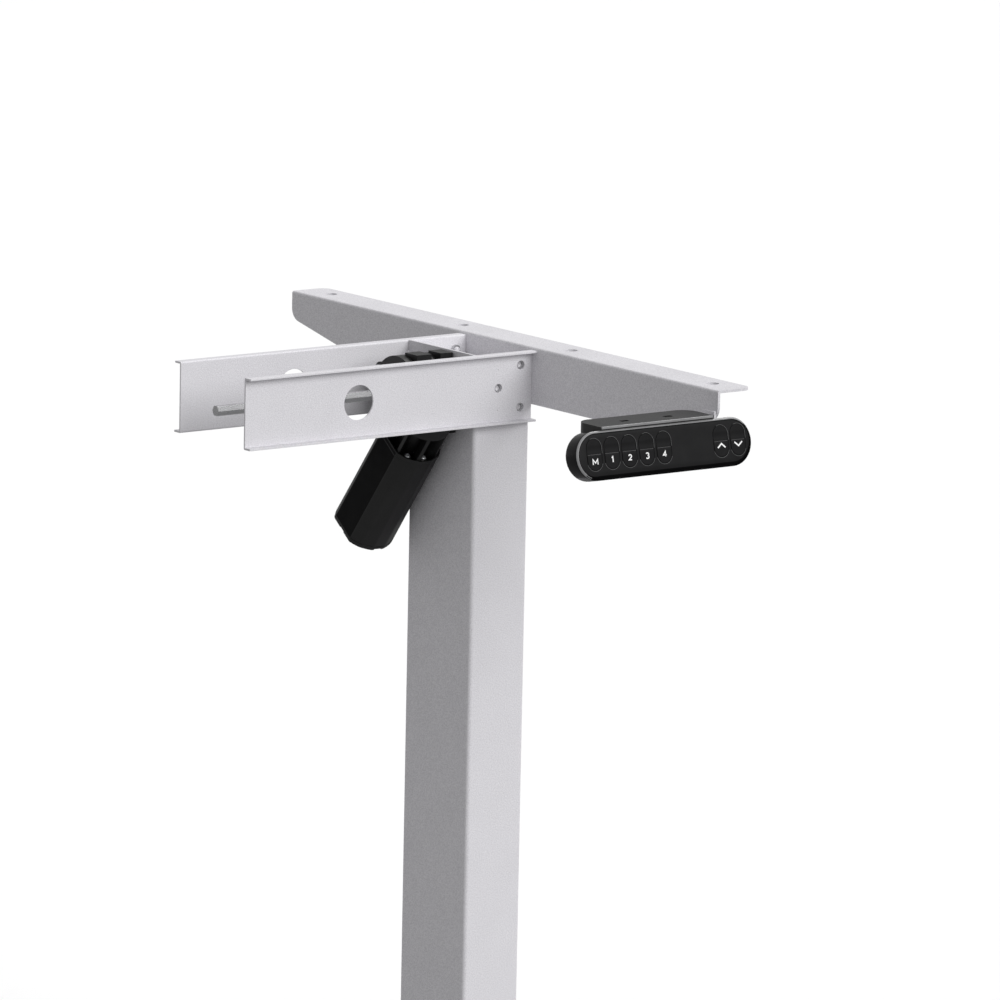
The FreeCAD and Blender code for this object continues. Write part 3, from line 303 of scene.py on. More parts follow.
def soften(thing, width, segments=2):
    """Rounds a piece's sharp edges and evens its shading, in its own mesh."""
    bevel = thing.modifiers.new("edge_round", "BEVEL")
    bevel.width = width
    bevel.segments = segments
    bevel.limit_method = "ANGLE"
    bevel.angle_limit = ROUNDED_ANGLE
    bevel.use_clamp_overlap = True
    bevel.harden_normals = True
    thing.data.set_sharp_from_angle(angle=ROUNDED_ANGLE)
    apply_modifiers(thing)


def rings_mesh(rings, closed=False, caps=True):
    """Faces that join equal rings of points; the ends are capped or joined up."""
    count = len(rings[0])
    verts = [point for ring in rings for point in ring]
    faces = []
    spans = len(rings) if closed else len(rings) - 1
    for row in range(spans):
        a = row * count
        b = ((row + 1) % len(rings)) * count
        for i in range(count):
            j = (i + 1) % count
            faces.append((a + i, a + j, b + j, b + i))
    if caps and not closed:
        faces.append(tuple(range(count)))
        last = (len(rings) - 1) * count
        faces.append(tuple(range(last, last + count)))
    return verts, faces


def pill_ring(length, height, inset, arc=20):
    """A pill's outline in x and y, drawn in by an inset."""
    radius = height / 2 - inset
    reach = (length - height) / 2
    ring = []
    for side in (1, -1):
        for step in range(arc + 1):
            angle = -math.pi / 2 + math.pi * step / arc
            x = reach + radius * math.cos(angle)
            ring.append((side * x, side * radius * math.sin(angle)))
    return ring


def capsule_ring(width, height, inset):
    """An upright capsule's outline in x and y."""
    return [(-y, x) for x, y in pill_ring(height, width, inset, CAPSULE_ARC)]


def placed(place, ring, z, shift=(0, 0)):
    """A flat ring of points set at a level of a place's axes."""
    return [place @ Vector((x + shift[0], y + shift[1], z)) for x, y in ring]


def lathe(place, profile, steps):
    """Rings of a profile of (radius, z) turned about a place's z axis."""
    rings = []
    for radius, z in profile:
        ring = []
        for step in range(steps):
            angle = 2 * math.pi * step / steps
            ring.append(place @ Vector((radius * math.cos(angle), radius * math.sin(angle), z)))
        rings.append(ring)
    return rings_mesh(rings)


def slab(place, low, high):
    """The eight corners and six faces of a block in a place's axes."""
    verts = [place @ Vector((x, y, z)) for z in (low[2], high[2])
             for y in (low[1], high[1]) for x in (low[0], high[0])]
    faces = [(0, 1, 3, 2), (4, 5, 7, 6), (0, 1, 5, 4), (2, 3, 7, 6), (0, 2, 6, 4), (1, 3, 7, 5)]
    return verts, faces


def subtract(thing, cutter):
    """Cuts a closed mesh out of a piece and removes the cutter."""
    modifier = thing.modifiers.new("cut", "BOOLEAN")
    modifier.operation = "DIFFERENCE"
    modifier.solver = "EXACT"
    modifier.object = cutter
    apply_modifiers(thing)
    bpy.data.objects.remove(cutter, do_unlink=True)


# ------------------------------------------------------------------ sheet metal

EDGE = 0.25 * MM
BULKHEAD_WELDS = ((0.006, 0.016), (0.034, 0.044))      # metres up the plate


def round_edges(thing, width, segments=2, angle=35):
    """Rounds a CAD part's edges with modifiers only, and evens its shading."""
    weld = thing.modifiers.new("weld", "WELD")
    weld.merge_threshold = MERGE
    flat = thing.modifiers.new("flat", "DECIMATE")
    flat.decimate_type = "DISSOLVE"
    flat.angle_limit = math.radians(0.4)
    bevel = thing.modifiers.new("edge_round", "BEVEL")
    bevel.width = width
    bevel.segments = segments
    bevel.limit_method = "ANGLE"
    bevel.angle_limit = math.radians(angle)
    even = thing.modifiers.new("even_normals", "WEIGHTED_NORMAL")
    even.mode = "FACE_AREA"
    even.weight = 100
    even.keep_sharp = True


def round_sheet_edges():
    """Powder coat never leaves a sharp edge, so the pressed parts get small rounds."""
    for node in ("rail_front", "rail_rear", "bulkhead", "side_bracket", "column_head",
                 "foot_plate", "handset_bracket", "glide_collar"):
        round_edges(NODES[node], EDGE)


def weld_bead(name, start, end, size, body, up, out):
    """A rippled fillet weld from one point to another in the corner of two faces."""
    start = Vector(start)
    end = Vector(end)
    along = end - start
    length = along.length
    steps = max(8, int(length / (0.9 * MM)))
    rings = []
    for step in range(steps + 1):
        share = step / steps
        ripple = 1 + 0.13 * math.sin(share * steps * 2.1) + 0.05 * math.sin(share * steps * 0.83)
        fade = min(1, 6 * share + 0.35, 6 * (1 - share) + 0.35)
        reach = size * ripple * fade
        ring = []
        for k in range(7):
            angle = math.pi / 2 * k / 6
            ring.append(start + along * share + Vector(out) * reach * math.cos(angle)
                        + Vector(up) * reach * math.sin(angle))
        ring.append(start + along * share)
        rings.append(ring)
    verts, faces = rings_mesh(rings)
    return piece_from(name, verts, faces, body, "powder_coat", "powder_coat")


def make_welds():
    """The welds that hold the tube to its foot and the frame's plates to each other."""
    low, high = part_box("inner_tube")
    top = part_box("foot_plate")[1][2]
    size = 3 * MM
    corner = 4 * MM
    spans = {
        "foot_weld_front": ((low[0] + corner, low[1], top), (high[0] - corner, low[1], top),
                            (0, -1, 0)),
        "foot_weld_rear": ((low[0] + corner, high[1], top), (high[0] - corner, high[1], top),
                           (0, 1, 0)),
        "foot_weld_left": ((low[0], low[1] + corner, top), (low[0], high[1] - corner, top),
                           (-1, 0, 0)),
        "foot_weld_right": ((high[0], low[1] + corner, top), (high[0], high[1] - corner, top),
                            (1, 0, 0)),
    }
    for name, (start, end, out) in spans.items():
        weld_bead(name, start, end, size, "lower_column", (0, 0, 1), out)
    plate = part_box("bulkhead")
    for name, y, side in (("bulkhead_weld_front", plate[0][1], 1),
                          ("bulkhead_weld_rear", plate[1][1], -1)):
        for index, (z_low, z_high) in enumerate(BULKHEAD_WELDS):
            start = (plate[0][0], y, plate[0][2] + z_low)
            end = (plate[0][0], y, plate[0][2] + z_high)
            weld_bead(f"{name}_{index}", start, end, 1.6 * MM, UPPER, (-1, 0, 0), (0, side, 0))


# ------------------------------------------------------------------ handset

HAND_LENGTH = 155 * MM
HAND_HEIGHT = 35 * MM
KEY_WIDTH = 12.6 * MM
KEY_HEIGHT = 22.4 * MM
KEY_GAP = 0.35 * MM
KEY_RISE = 1.0 * MM
KEY_HALF_W = KEY_WIDTH / 2
KEY_HALF_H = KEY_HEIGHT / 2
KEY_REACH = (KEY_HEIGHT - KEY_WIDTH) / 2    # from a key's middle to its round ends' centres
KEY_COLUMNS = 28
KEY_ROWS = 44
CAP_LEVEL = 0.10 * MM
CAP_DEPTH = 1.8 * MM
ROLL_WIDTH = 0.55 * MM
ROLL_DROP = 0.22 * MM
SCOOP_START = 0.25 * MM
SCOOP_DEPTH = 0.30 * MM
SCOOP_DROP = 0.16 * MM
GROOVE_START = -0.12 * MM
GROOVE_DROP = 0.34 * MM

# A pill_ring of this arc has 33 points up the right end, then 33 down the left end. The
# rim's painted highlight and the bevel's painted shade each follow a part of that ring.
EDGE_ARC = 32
RIM_POINTS = range(24, 62)
BEVEL_POINTS = [*range(58, 66), *range(18)]
BEVEL_TAPER = 7


def make_housing():
    """The moulded shell: a rolled rim in front, drawn sides and a rounded back."""
    outer = [
        (2.05, -2.3), (1.9, -0.35), (1.75, -0.12), (1.5, 0.0), (1.25, -0.02),
        (0.25, -0.95), (0.08, -1.2), (0.0, -1.6), (0.0, -2.4), (0.05, -12.2),
        (0.25, -13.4), (0.75, -14.4), (1.5, -15.1), (2.5, -15.35), (3.5, -15.4),
    ]
    inner = [(3.6, -13.6), (2.4, -13.2), (1.9, -12.4), (1.85, -3.0)]
    rings = [placed(FACE, pill_ring(HAND_LENGTH, HAND_HEIGHT, inset * MM), z * MM)
             for inset, z in outer]
    verts, faces = rings_mesh(rings, caps=False)
    count = len(rings[0])
    last = (len(rings) - 1) * count
    faces.append(tuple(range(last, last + count)))
    base = len(verts)
    inner_rings = [placed(FACE, pill_ring(HAND_LENGTH, HAND_HEIGHT, inset * MM), z * MM)
                   for inset, z in inner]
    more, inner_faces = rings_mesh(inner_rings, caps=False)
    verts += more
    faces += [tuple(i + base for i in face) for face in inner_faces]
    faces.append(tuple(range(base, base + count)))
    mouth = base + (len(inner_rings) - 1) * count
    for i in range(count):
        j = (i + 1) % count
        faces.append((mouth + i, mouth + j, j, i))
    shell = piece_from("handset_housing_shell", verts, faces, UPPER, "handset_shell",
                       "handset_shell")
    way = loose_mesh("plug_way", *slab(FACE, (-58.4 * MM, -1.7 * MM, -19 * MM),
                                       (-47.6 * MM, 1.7 * MM, -10 * MM)))
    subtract(shell, way)
    shell.data.set_sharp_from_angle(angle=math.radians(38))
    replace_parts(shell, "handset_housing")


def make_rim():
    """The rolled edge in a pale painted highlight, from the right end's top over to the left end's bottom."""
    rim = [(1.62, -0.07), (1.5, 0.03), (1.22, 0.0), (0.22, -0.93), (0.10, -1.10), (0.3, -1.3),
           (1.3, -0.5)]
    outlines = [(pill_ring(HAND_LENGTH, HAND_HEIGHT, inset * MM, EDGE_ARC), z * MM)
                for inset, z in rim]
    strip = [[FACE @ Vector((*outline[index], z)) for outline, z in outlines]
             for index in RIM_POINTS]
    verts, faces = rings_mesh(strip)
    piece_from("handset_rim", verts, faces, UPPER, "painted_highlight_pale", "handset_shell")


def make_lower_bevel():
    """The bevel along the bottom of the face in a near-black painted shade, which narrows towards both its ends.
    """
    strip = []
    for step, index in enumerate(BEVEL_POINTS):
        ends = min(step, len(BEVEL_POINTS) - 1 - step) / BEVEL_TAPER
        wide = 1.7 + 1.4 * min(1.0, ends)
        bevel = [(0.32, -0.95), (0.6, -0.5), (1.35, 0.03), (wide, 0.03), (wide + 0.2, -0.05),
                 (wide + 0.2, -0.35), (0.7, -1.3)]
        ring = []
        for inset, z in bevel:
            outline = pill_ring(HAND_LENGTH, HAND_HEIGHT, inset * MM, EDGE_ARC)
            ring.append(FACE @ Vector((*outline[index], z * MM)))
        strip.append(ring)
    verts, faces = rings_mesh(strip)
    lower = piece_from("handset_lower_bevel", verts, faces, UPPER, "painted_shade_black",
                       "handset_shell")
    lower.data.set_sharp_from_angle(angle=ROUNDED_ANGLE)


def key_centre(node):
    """A key's centre along the face, from its CAD box."""
    return (FACE.inverted() @ middle(node)).x


def make_face():
    """The face plate, with a rolled edge round each key's window."""
    rings = []
    for inset, z in ((2.0, -2.1), (2.0, -0.42), (2.12, -0.3), (2.4, -0.22)):
        rings.append(placed(FACE, pill_ring(HAND_LENGTH, HAND_HEIGHT, inset * MM), z * MM))
    verts, faces = rings_mesh(rings)
    plate = piece_from("handset_face_plate", verts, faces, UPPER, "handset_gloss",
                       "handset_gloss")
    for node in KEYS:
        centre = (key_centre(node), KEY_RISE)
        bore = [placed(FACE, capsule_ring(KEY_WIDTH, KEY_HEIGHT, -KEY_GAP), z, centre)
                for z in (-4 * MM, 2 * MM)]
        subtract(plate, loose_mesh("window", *rings_mesh(bore)))
    soften(plate, 0.18 * MM)
    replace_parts(plate, "handset_face")


def stroke(points, width, depth, place, shift):
    """A flat ribbon with square ends that follows points, for an inlaid legend."""
    verts = []
    faces = []
    half = width / 2
    rims = []
    for index, (x, y) in enumerate(points):
        before = points[max(index - 1, 0)]
        after = points[min(index + 1, len(points) - 1)]
        if index in (0, len(points) - 1):
            direction = Vector((after[0] - before[0], after[1] - before[1])).normalized()
            side = Vector((-direction.y, direction.x)) * half
        else:
            first = Vector((x - before[0], y - before[1])).normalized()
            second = Vector((after[0] - x, after[1] - y)).normalized()
            side = (Vector((-first.y, first.x)) + Vector((-second.y, second.x))).normalized()
            side = side * half / max(0.5, side.dot(Vector((-first.y, first.x))))
        rims.append(((x + side.x, y + side.y), (x - side.x, y - side.y)))
    for left, right in rims:
        for z in (0.0, -depth):
            verts.append(place @ Vector((left[0] + shift[0], left[1] + shift[1], z + shift[2])))
            verts.append(place @ Vector((right[0] + shift[0], right[1] + shift[1],
                                         z + shift[2])))
    for index in range(len(rims) - 1):
        a = 4 * index
        b = a + 4
        faces += [(a, a + 1, b + 1, b), (a + 2, b + 2, b + 3, a + 3),
                  (a, b, b + 2, a + 2), (a + 1, a + 3, b + 3, b + 1)]
    last = 4 * (len(rims) - 1)
    faces += [(0, 2, 3, 1), (last, last + 1, last + 3, last + 2)]
    return verts, faces


def arc_points(x, y, radius_x, radius_y, start, end, steps):
    """Points along an ellipse's arc, in degrees."""
    points = []
    for step in range(steps + 1):
        angle = math.radians(start + (end - start) * step / steps)
        points.append((x + radius_x * math.cos(angle), y + radius_y * math.sin(angle)))
    return points


# Each legend is drawn in a box two units wide and three high, centred on zero.
LEGENDS = {
    "M": [[(-1.15, -1.4), (-1.15, 1.4), (0, -0.55), (1.15, 1.4), (1.15, -1.4)]],
    "1": [[(-0.6, 0.85), (0.12, 1.4), (0.12, -1.4)]],
    "2": [arc_points(0, 0.62, 0.88, 0.82, 165, -35, 14) + [(-0.9, -1.2), (1.0, -1.2)]],
    "3": [arc_points(-0.05, 0.68, 0.82, 0.72, 150, -90, 14),
          arc_points(-0.05, -0.66, 0.92, 0.78, 90, -150, 14)],
    "4": [[(0.45, -1.4), (0.45, 1.3), (-1.0, -0.6), (1.1, -0.6)]],
    "^": [[(-1.25, -0.75), (0, 0.65), (1.25, -0.75)]],
    "v": [[(-1.25, 0.75), (0, -0.65), (1.25, 0.75)]],
}
# Each legend's scale along x and y, its stroke and how far it sits over the usual place.
LEGEND_SIZES = {
    "M": (1.80, 1.32, 0.85, 0.2), "^": (2.70, 2.05, 1.05, 2.2), "v": (2.70, 2.05, 1.05, 2.2),
}
NUMERAL_SIZE = (1.38, 1.36, 0.88, 0.75)


def scoop_outline(x):
    """The painted highlights along a key window's rolled edge: over the scoop and under the legend."""
    radius = KEY_WIDTH / 2 + KEY_GAP + 0.12 * MM
    over = arc_points(0, KEY_REACH, radius, radius, 115, 0, 16) + [(radius, 0.6 * MM)]
    under = arc_points(0, -KEY_REACH, radius, radius, 195, 345, 18)
    return [[(x + a, KEY_RISE + b) for a, b in line] for line in (over, under)]


def cap_level(across, y):
    """How far a cap's top stands over the face: a rolled edge, a scoop and a groove."""
    over = max(0.0, abs(y) - KEY_REACH)
    rim = KEY_HALF_W - math.hypot(across, over)
    roll = max(0.0, 1 - max(0.0, rim) / ROLL_WIDTH)
    level = CAP_LEVEL - ROLL_DROP * roll ** 2
    if y > SCOOP_START:
        edge = max(0.0, 1 - min(1.0, (KEY_HALF_W - abs(across)) / (0.9 * MM)))
        share = min(1.0, (y - SCOOP_START) / (KEY_REACH * 1.25))
        level -= SCOOP_DEPTH * math.sin(math.pi * share) * (1 - edge * 0.5)
        level -= SCOOP_DROP
    elif y > GROOVE_START:
        level -= GROOVE_DROP
    return level


def cap_mesh(x):
    """A key cap's shaped top, its straight sides and its flat underside."""
    verts = []
    lines = []
    for row in range(KEY_ROWS + 1):
        y = -KEY_HALF_H * math.cos(math.pi * row / KEY_ROWS)
        over = max(0.0, abs(y) - KEY_REACH)
        width = math.sqrt(max(0.0, KEY_HALF_W ** 2 - over ** 2))
        if row in (0, KEY_ROWS):
            width = KEY_HALF_W * 0.05
        y = max(-KEY_HALF_H * 0.999, min(KEY_HALF_H * 0.999, y))
        line = []
        for column in range(KEY_COLUMNS + 1):
            across = width * -math.cos(math.pi * column / KEY_COLUMNS)
            line.append(len(verts))
            verts.append(FACE @ Vector((x + across, y + KEY_RISE, cap_level(across, y))))
        lines.append(line)
    faces = [(a[column], a[column + 1], b[column + 1], b[column])
             for a, b in zip(lines, lines[1:]) for column in range(KEY_COLUMNS)]
    border = [line[-1] for line in lines] + list(reversed(lines[-1]))[1:]
    border += [line[0] for line in reversed(lines)][1:] + lines[0][1:-1]
    base = len(verts)
    for index in border:
        local = FACE.inverted() @ verts[index]
        verts.append(FACE @ Vector((local.x, local.y, -CAP_DEPTH)))
    count = len(border)
    for i in range(count):
        j = (i + 1) % count
        faces.append((border[i], border[j], base + j, base + i))
    faces.append(tuple(range(base, base + count)))
    return verts, faces


def make_key(node, legend):
    """A key: its cap and stem, its legend, and painted highlight lines along its window's edges and its step."""
    x = key_centre(node)
    body = node + "_button"
    cap = piece_from(node + "_cap", *cap_mesh(x), body, "key_cap", "key_cap")
    cap.data.set_sharp_from_angle(angle=ROUNDED_ANGLE)
    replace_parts(cap, node)
    place = Matrix.Translation(FACE @ Vector((x, KEY_RISE, 0)) - FACE.translation) @ FACE
    stem = [(0.1 * MM, -1.7 * MM), (2 * MM, -1.75 * MM), (2 * MM, -2.5 * MM),
            (1.7 * MM, -2.7 * MM), (0.1 * MM, -2.7 * MM)]
    piece_from(node + "_stem", *lathe(place, stem, 24), body, "key_cap", "key_cap")
    drop = -KEY_HALF_H * 0.47
    wide, high, weight, lift = LEGEND_SIZES.get(legend, NUMERAL_SIZE)
    for index, line in enumerate(LEGENDS[legend]):
        points = [(a * wide * MM, b * high * MM) for a, b in line]
        verts, faces = stroke(points, weight * MM, 0.1 * MM, FACE,
                              (x, KEY_RISE + drop + lift * MM, 0.14 * MM))
        piece_from(f"{node}_legend_{index}", verts, faces, body, "legend_white", "key_cap",
                   smooth=False)
    # Grey lines along the window's edge: painted highlights.
    for index, line in enumerate(scoop_outline(x)):
        verts, faces = stroke(line, 0.28 * MM, 0.2 * MM, FACE, (0, 0, -0.10 * MM))
        piece_from(f"{node}_edge_{index}", verts, faces, UPPER, "painted_highlight_line", "handset_gloss",
                   smooth=False)
    # A grey line along the cap's step: a painted highlight.
    step = [(-KEY_HALF_W * 0.92, 0), (KEY_HALF_W * 0.92, 0)]
    verts, faces = stroke(step, 0.24 * MM, 0.3 * MM, FACE,
                          (x, KEY_RISE + 0.06 * MM, 0.02 * MM))
    piece_from(f"{node}_step", verts, faces, body, "painted_highlight_line", "key_cap", smooth=False)


def make_mount():
    """The mount plate keeps its CAD shape; its edges are rolled and its front lip is a strip in a painted
    highlight.
    """
    round_edges(NODES["handset_mount"], 0.45 * MM, 3, 40)
    low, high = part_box("handset_mount")
    left = low[0] + 0.8 * MM
    right = high[0] - 0.8 * MM
    verts, faces = slab(Matrix.Identity(4), (left, low[1] - 0.4 * MM, high[2] - 1.7 * MM),
                        (right, low[1] + 1.0 * MM, high[2] + 0.1 * MM))
    # The strip is pale grey on the black mount: a painted highlight along its front edge.
    strip = piece_from("mount_front_lip", verts, faces, UPPER, "painted_highlight_pale", "black_moulding",
                       smooth=False)
    soften(strip, 0.4 * MM, 3)


# ------------------------------------------------------------------ motor and gearbox

COVER_RADIUS = 23.5 * MM
COVER_FLAT = 20.0 * MM
RIM = -33.5 * MM            # the cover's mouth, along the motor's axis from its joint
COVER_END = -128.5 * MM
COVER_STEPS = 112
COVER_SIDES = 14
FLAT_NORMAL = 0.985
SECTOR_STEPS = 8


def cover_ring(inset, facet):
    """The motor cover's outline: round with two flats, and faintly faceted in between."""
    ring = []
    part = 2 * math.pi / COVER_SIDES
    for step in range(COVER_STEPS):
        angle = 2 * math.pi * step / COVER_STEPS
        chord = math.cos(part / 2) / math.cos(angle % part - part / 2)
        radius = (COVER_RADIUS - inset) * (1 - facet + facet * chord)
        x = radius * math.cos(angle)
        y = radius * math.sin(angle)
        limit = COVER_FLAT - inset
        if abs(x) > limit:
            x = math.copysign(limit, x)
            y = math.copysign(min(abs(y), math.sqrt(max(0, radius ** 2 - limit ** 2))), y)
        ring.append((x, y))
    return ring


def make_motor_cover():
    """The cover is a drawn tube: a beaded mouth, a groove under it and a stepped end."""
    outside = [
        (0.35, RIM), (0.0, RIM - 0.5 * MM), (0.0, RIM - 2.0 * MM), (0.45, RIM - 2.4 * MM),
        (0.45, RIM - 3.4 * MM), (0.12, RIM - 3.9 * MM), (0.12, RIM - 30 * MM),
        (0.12, RIM - 60 * MM), (0.0, COVER_END + 8.2 * MM), (0.0, COVER_END + 4.3 * MM),
        (0.3, COVER_END + 4.05 * MM),
    ]
    inside = [(1.6, COVER_END + 4.05 * MM), (1.6, RIM - 60 * MM), (1.6, RIM - 1.0 * MM),
              (1.2, RIM)]
    rings = [placed(MOTOR, cover_ring(inset * MM, 0.8), z)
             for inset, z in outside + inside]
    verts, faces = rings_mesh(rings, closed=True)
    cover = piece_from("motor_cover_shell", verts, faces, UPPER, "black_moulding",
                       "black_moulding")
    cover.data.set_sharp_from_angle(angle=math.radians(36))
    # The two flats, which face along x, get a duller black than the round sides: a painted shade on the same
    # moulding.
    cover.data.materials.append(MATERIALS["painted_shade_flat"])
    for face in cover.data.polygons:
        if abs(face.normal.x) > FLAT_NORMAL:
            face.material_index = 1
    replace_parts(cover, "motor_cover")
    end = [(1.2, COVER_END + 4.3 * MM), (0.0, COVER_END + 3.95 * MM), (0.0, COVER_END + 3.4 * MM),
           (0.0, COVER_END + 1.2 * MM), (0.5, COVER_END + 0.35 * MM), (1.4, COVER_END),
           (8.0, COVER_END), (8.6, COVER_END + 0.6 * MM), (9.5, COVER_END + 0.8 * MM)]
    rings = [placed(MOTOR, cover_ring(inset * MM, 0.4), z) for inset, z in end]
    verts, faces = rings_mesh(rings)
    cap = piece_from("motor_end_cap_shell", verts, faces, UPPER, "black_moulding",
                     "black_moulding")
    notches = [((-3.5, 18.8), (3.5, 26)), ((-3.5, -26), (3.5, -18.8)),
               ((-26, -3.0), (-18.6, 3.0)), ((18.6, -3.0), (26, 3.0)),
               ((-19.0, 11.0), (-12.0, 19.0)), ((12.0, -19.0), (19.0, -11.0))]
    for low, high in notches:
        cutter = loose_mesh("notch", *slab(
            MOTOR, (low[0] * MM, low[1] * MM, COVER_END - 1 * MM),
            (high[0] * MM, high[1] * MM, COVER_END + 1.9 * MM)))
        subtract(cap, cutter)
    cap.data.set_sharp_from_angle(angle=math.radians(36))
    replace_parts(cap, "motor_end_cap")


def screw_head(name, place, radius, height):
    """A pan head with a cross recess."""
    profile = [(radius * 0.5, 0), (radius, 0.0), (radius, height * 0.45),
               (radius * 0.86, height * 0.8), (radius * 0.5, height), (CENTRE, height * 1.02)]
    verts, faces = lathe(place, profile, 28)
    head = piece_from(name, verts, faces, UPPER, "zinc_steel", "zinc_steel")
    for turn in (0, 90):
        spun = place @ Matrix.Rotation(math.radians(turn), 4, "Z")
        cutter = loose_mesh("recess", *slab(spun, (-radius * 0.55, -radius * 0.12, height * 0.45),
                                            (radius * 0.55, radius * 0.12, height * 1.5)))
        subtract(head, cutter)


def sector(place, inner, outer, start, end, low, high):
    """A closed piece of a ring, between two angles in degrees."""
    rim = []
    for radius, first, last in ((inner, start, end), (outer, end, start)):
        for step in range(SECTOR_STEPS + 1):
            angle = math.radians(first + (last - first) * step / SECTOR_STEPS)
            rim.append((radius * math.cos(angle), radius * math.sin(angle)))
    return rings_mesh([placed(place, rim, low), placed(place, rim, high)])


NECK_FLOOR = RIM - 8.2 * MM
NECK_CORE = 11.5 * MM
NECK_WALL = 23.2 * MM
DEEP_POCKET = 21 * MM
SHALLOW_POCKET = 7.5 * MM
HALF_RIB = 3.5          # degrees
BOSS_HEIGHT = 5.6 * MM
RIB_ANGLES = (-150, -105, -60, -15, 30, 75, 120, 165)


def make_case():
    """The gearbox case, its neck hollowed between ribs where it enters the cover."""
    source = NODES["gearbox_case"]
    shell = bpy.data.objects.new("gearbox_case_shell", source.data.copy())
    shell.matrix_world = source.matrix_world.copy()
    bpy.context.scene.collection.objects.link(shell)
    weld = shell.modifiers.new("weld", "WELD")
    weld.merge_threshold = MERGE
    apply_modifiers(shell)
    for start, end in zip(RIB_ANGLES, RIB_ANGLES[1:] + (RIB_ANGLES[0] + 360,)):
        front = math.sin(math.radians((start + end) / 2)) < 0.3
        top = RIM + (DEEP_POCKET if front else SHALLOW_POCKET)
        cutter = loose_mesh("pocket", *sector(MOTOR, NECK_CORE, NECK_WALL, start + HALF_RIB,
                                              end - HALF_RIB, NECK_FLOOR, top))
        subtract(shell, cutter)
    round_edges(shell, 0.35 * MM, 2, 38)
    apply_modifiers(shell)
    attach(shell, UPPER)
    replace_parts(shell, "gearbox_case")
    round_edges(NODES["gearbox_cover"], 0.5 * MM, 2, 38)


def make_neck_fittings():
    """Screw bosses and the cable clip that show in the cover's open mouth."""
    for index, angle in enumerate((-127, -82, -37, 143)):
        place = MOTOR @ Matrix.Rotation(math.radians(angle), 4, "Z") @ Matrix.Translation(
            (16.6 * MM, 0, NECK_FLOOR))
        profile = [(0.1 * MM, -0.2 * MM), (3.4 * MM, -0.2 * MM), (3.4 * MM, 5.2 * MM),
                   (3.0 * MM, BOSS_HEIGHT), (0.1 * MM, BOSS_HEIGHT)]
        verts, faces = lathe(place, profile, 24)
        tower = piece_from(f"neck_boss_{index}", verts, faces, UPPER, "black_moulding",
                           "black_moulding")
        tower.data.set_sharp_from_angle(angle=ROUNDED_ANGLE)
        screw_head(f"neck_screw_{index}", place @ Matrix.Translation((0, 0, BOSS_HEIGHT)),
                   2.3 * MM, 1.2 * MM)
    clip = MOTOR @ Matrix.Rotation(math.radians(-52), 4, "Z")
    verts, faces = slab(clip, (17.6 * MM, -2.6 * MM, NECK_FLOOR), (20.4 * MM, 2.6 * MM,
                                                                   RIM + 8 * MM))
    arm = piece_from("neck_clip", verts, faces, UPPER, "black_moulding", "black_moulding")
    soften(arm, 0.5 * MM)


# ------------------------------------------------------------------ drive screws

SCREW_RADIUS = 8 * MM
SCREW_LEAD = 10 * MM    # the lead that column_lift's coupling to the spindle has
ROWS_PER_CREST = 12
FLANK_SHARE = 0.16
THREAD_FADE = 2 * MM


def helix_piece(name, place, radius, depth, lead, starts, low, high, body, look, node, steps):
    """A right-hand trapezoidal thread as one closed surface round a place's z axis."""
    rows = int((high - low) / lead * starts * ROWS_PER_CREST)
    rings = []
    for row in range(rows + 1):
        z = low + (high - low) * row / rows
        ring = []
        for step in range(steps):
            angle = 2 * math.pi * step / steps
            phase = (z / lead - angle / (2 * math.pi)) * starts
            share = phase - math.floor(phase)
            ramp = min(1.0, max(0.0, (abs(share - 0.5) - FLANK_SHARE) / FLANK_SHARE))
            fade = min(1.0, (z - low) / THREAD_FADE, (high - z) / THREAD_FADE)
            cut = depth * (1 - ramp * max(0.0, fade))
            r = radius - cut
            ring.append(place @ Vector((r * math.cos(angle), r * math.sin(angle), z)))
        rings.append(ring)
    verts, faces = rings_mesh(rings)
    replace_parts(piece_from(name, verts, faces, body, look, look), node)


# Places on a rail, in mm from its end and from its top.
GRUB_PLACES = ((10, 10.4), (10, 41.5), (30, 26))
MARK_PLACES = ((30, 12), (30, 42))
RAIL_LIP = 6.2 * MM


def make_rail_marks():
    """Grub screws in the rails' rivet nuts, and two press marks beside them."""
    for side, node, turn in (("front", "rail_front", 90), ("rear", "rail_rear", -90)):
        low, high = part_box(node)
        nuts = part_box("rail_rivets")
        outer = -nuts[0][1] if side == "front" else nuts[1][1]
        sign = -1 if side == "front" else 1
        for index, (inset, drop) in enumerate(GRUB_PLACES):
            place = Matrix.Translation((high[0] - inset * MM, sign * (outer - 1.3 * MM),
                                        high[2] - drop * MM)) @ Matrix.Rotation(
                                            math.radians(turn), 4, "X")
            profile = [(CENTRE, -2.5 * MM), (2.28 * MM, -2.5 * MM), (2.28 * MM, -0.25 * MM),
                       (2.0 * MM, 0.0), (0.9 * MM, 0.0), (0.8 * MM, -0.25 * MM),
                       (CENTRE, -0.3 * MM)]
            verts, faces = lathe(place, profile, 28)
            piece_from(f"grub_screw_{side}_{index}", verts, faces, UPPER, "powder_coat",
                       "powder_coat")
        web = abs(low[1]) - RAIL_LIP if side == "front" else high[1] - RAIL_LIP
        for index, (inset, drop) in enumerate(MARK_PLACES):
            place = Matrix.Translation((high[0] - inset * MM, sign * web, high[2] - drop * MM)
                                       ) @ Matrix.Rotation(math.radians(turn), 4, "X")
            profile = [(0.7 * MM, -0.2 * MM), (0.7 * MM, 0.05 * MM), (0.45 * MM, 0.3 * MM),
                       (CENTRE, 0.34 * MM)]
            verts, faces = lathe(place, profile, 20)
            piece_from(f"press_mark_{side}_{index}", verts, faces, UPPER, "powder_coat",
                       "powder_coat")


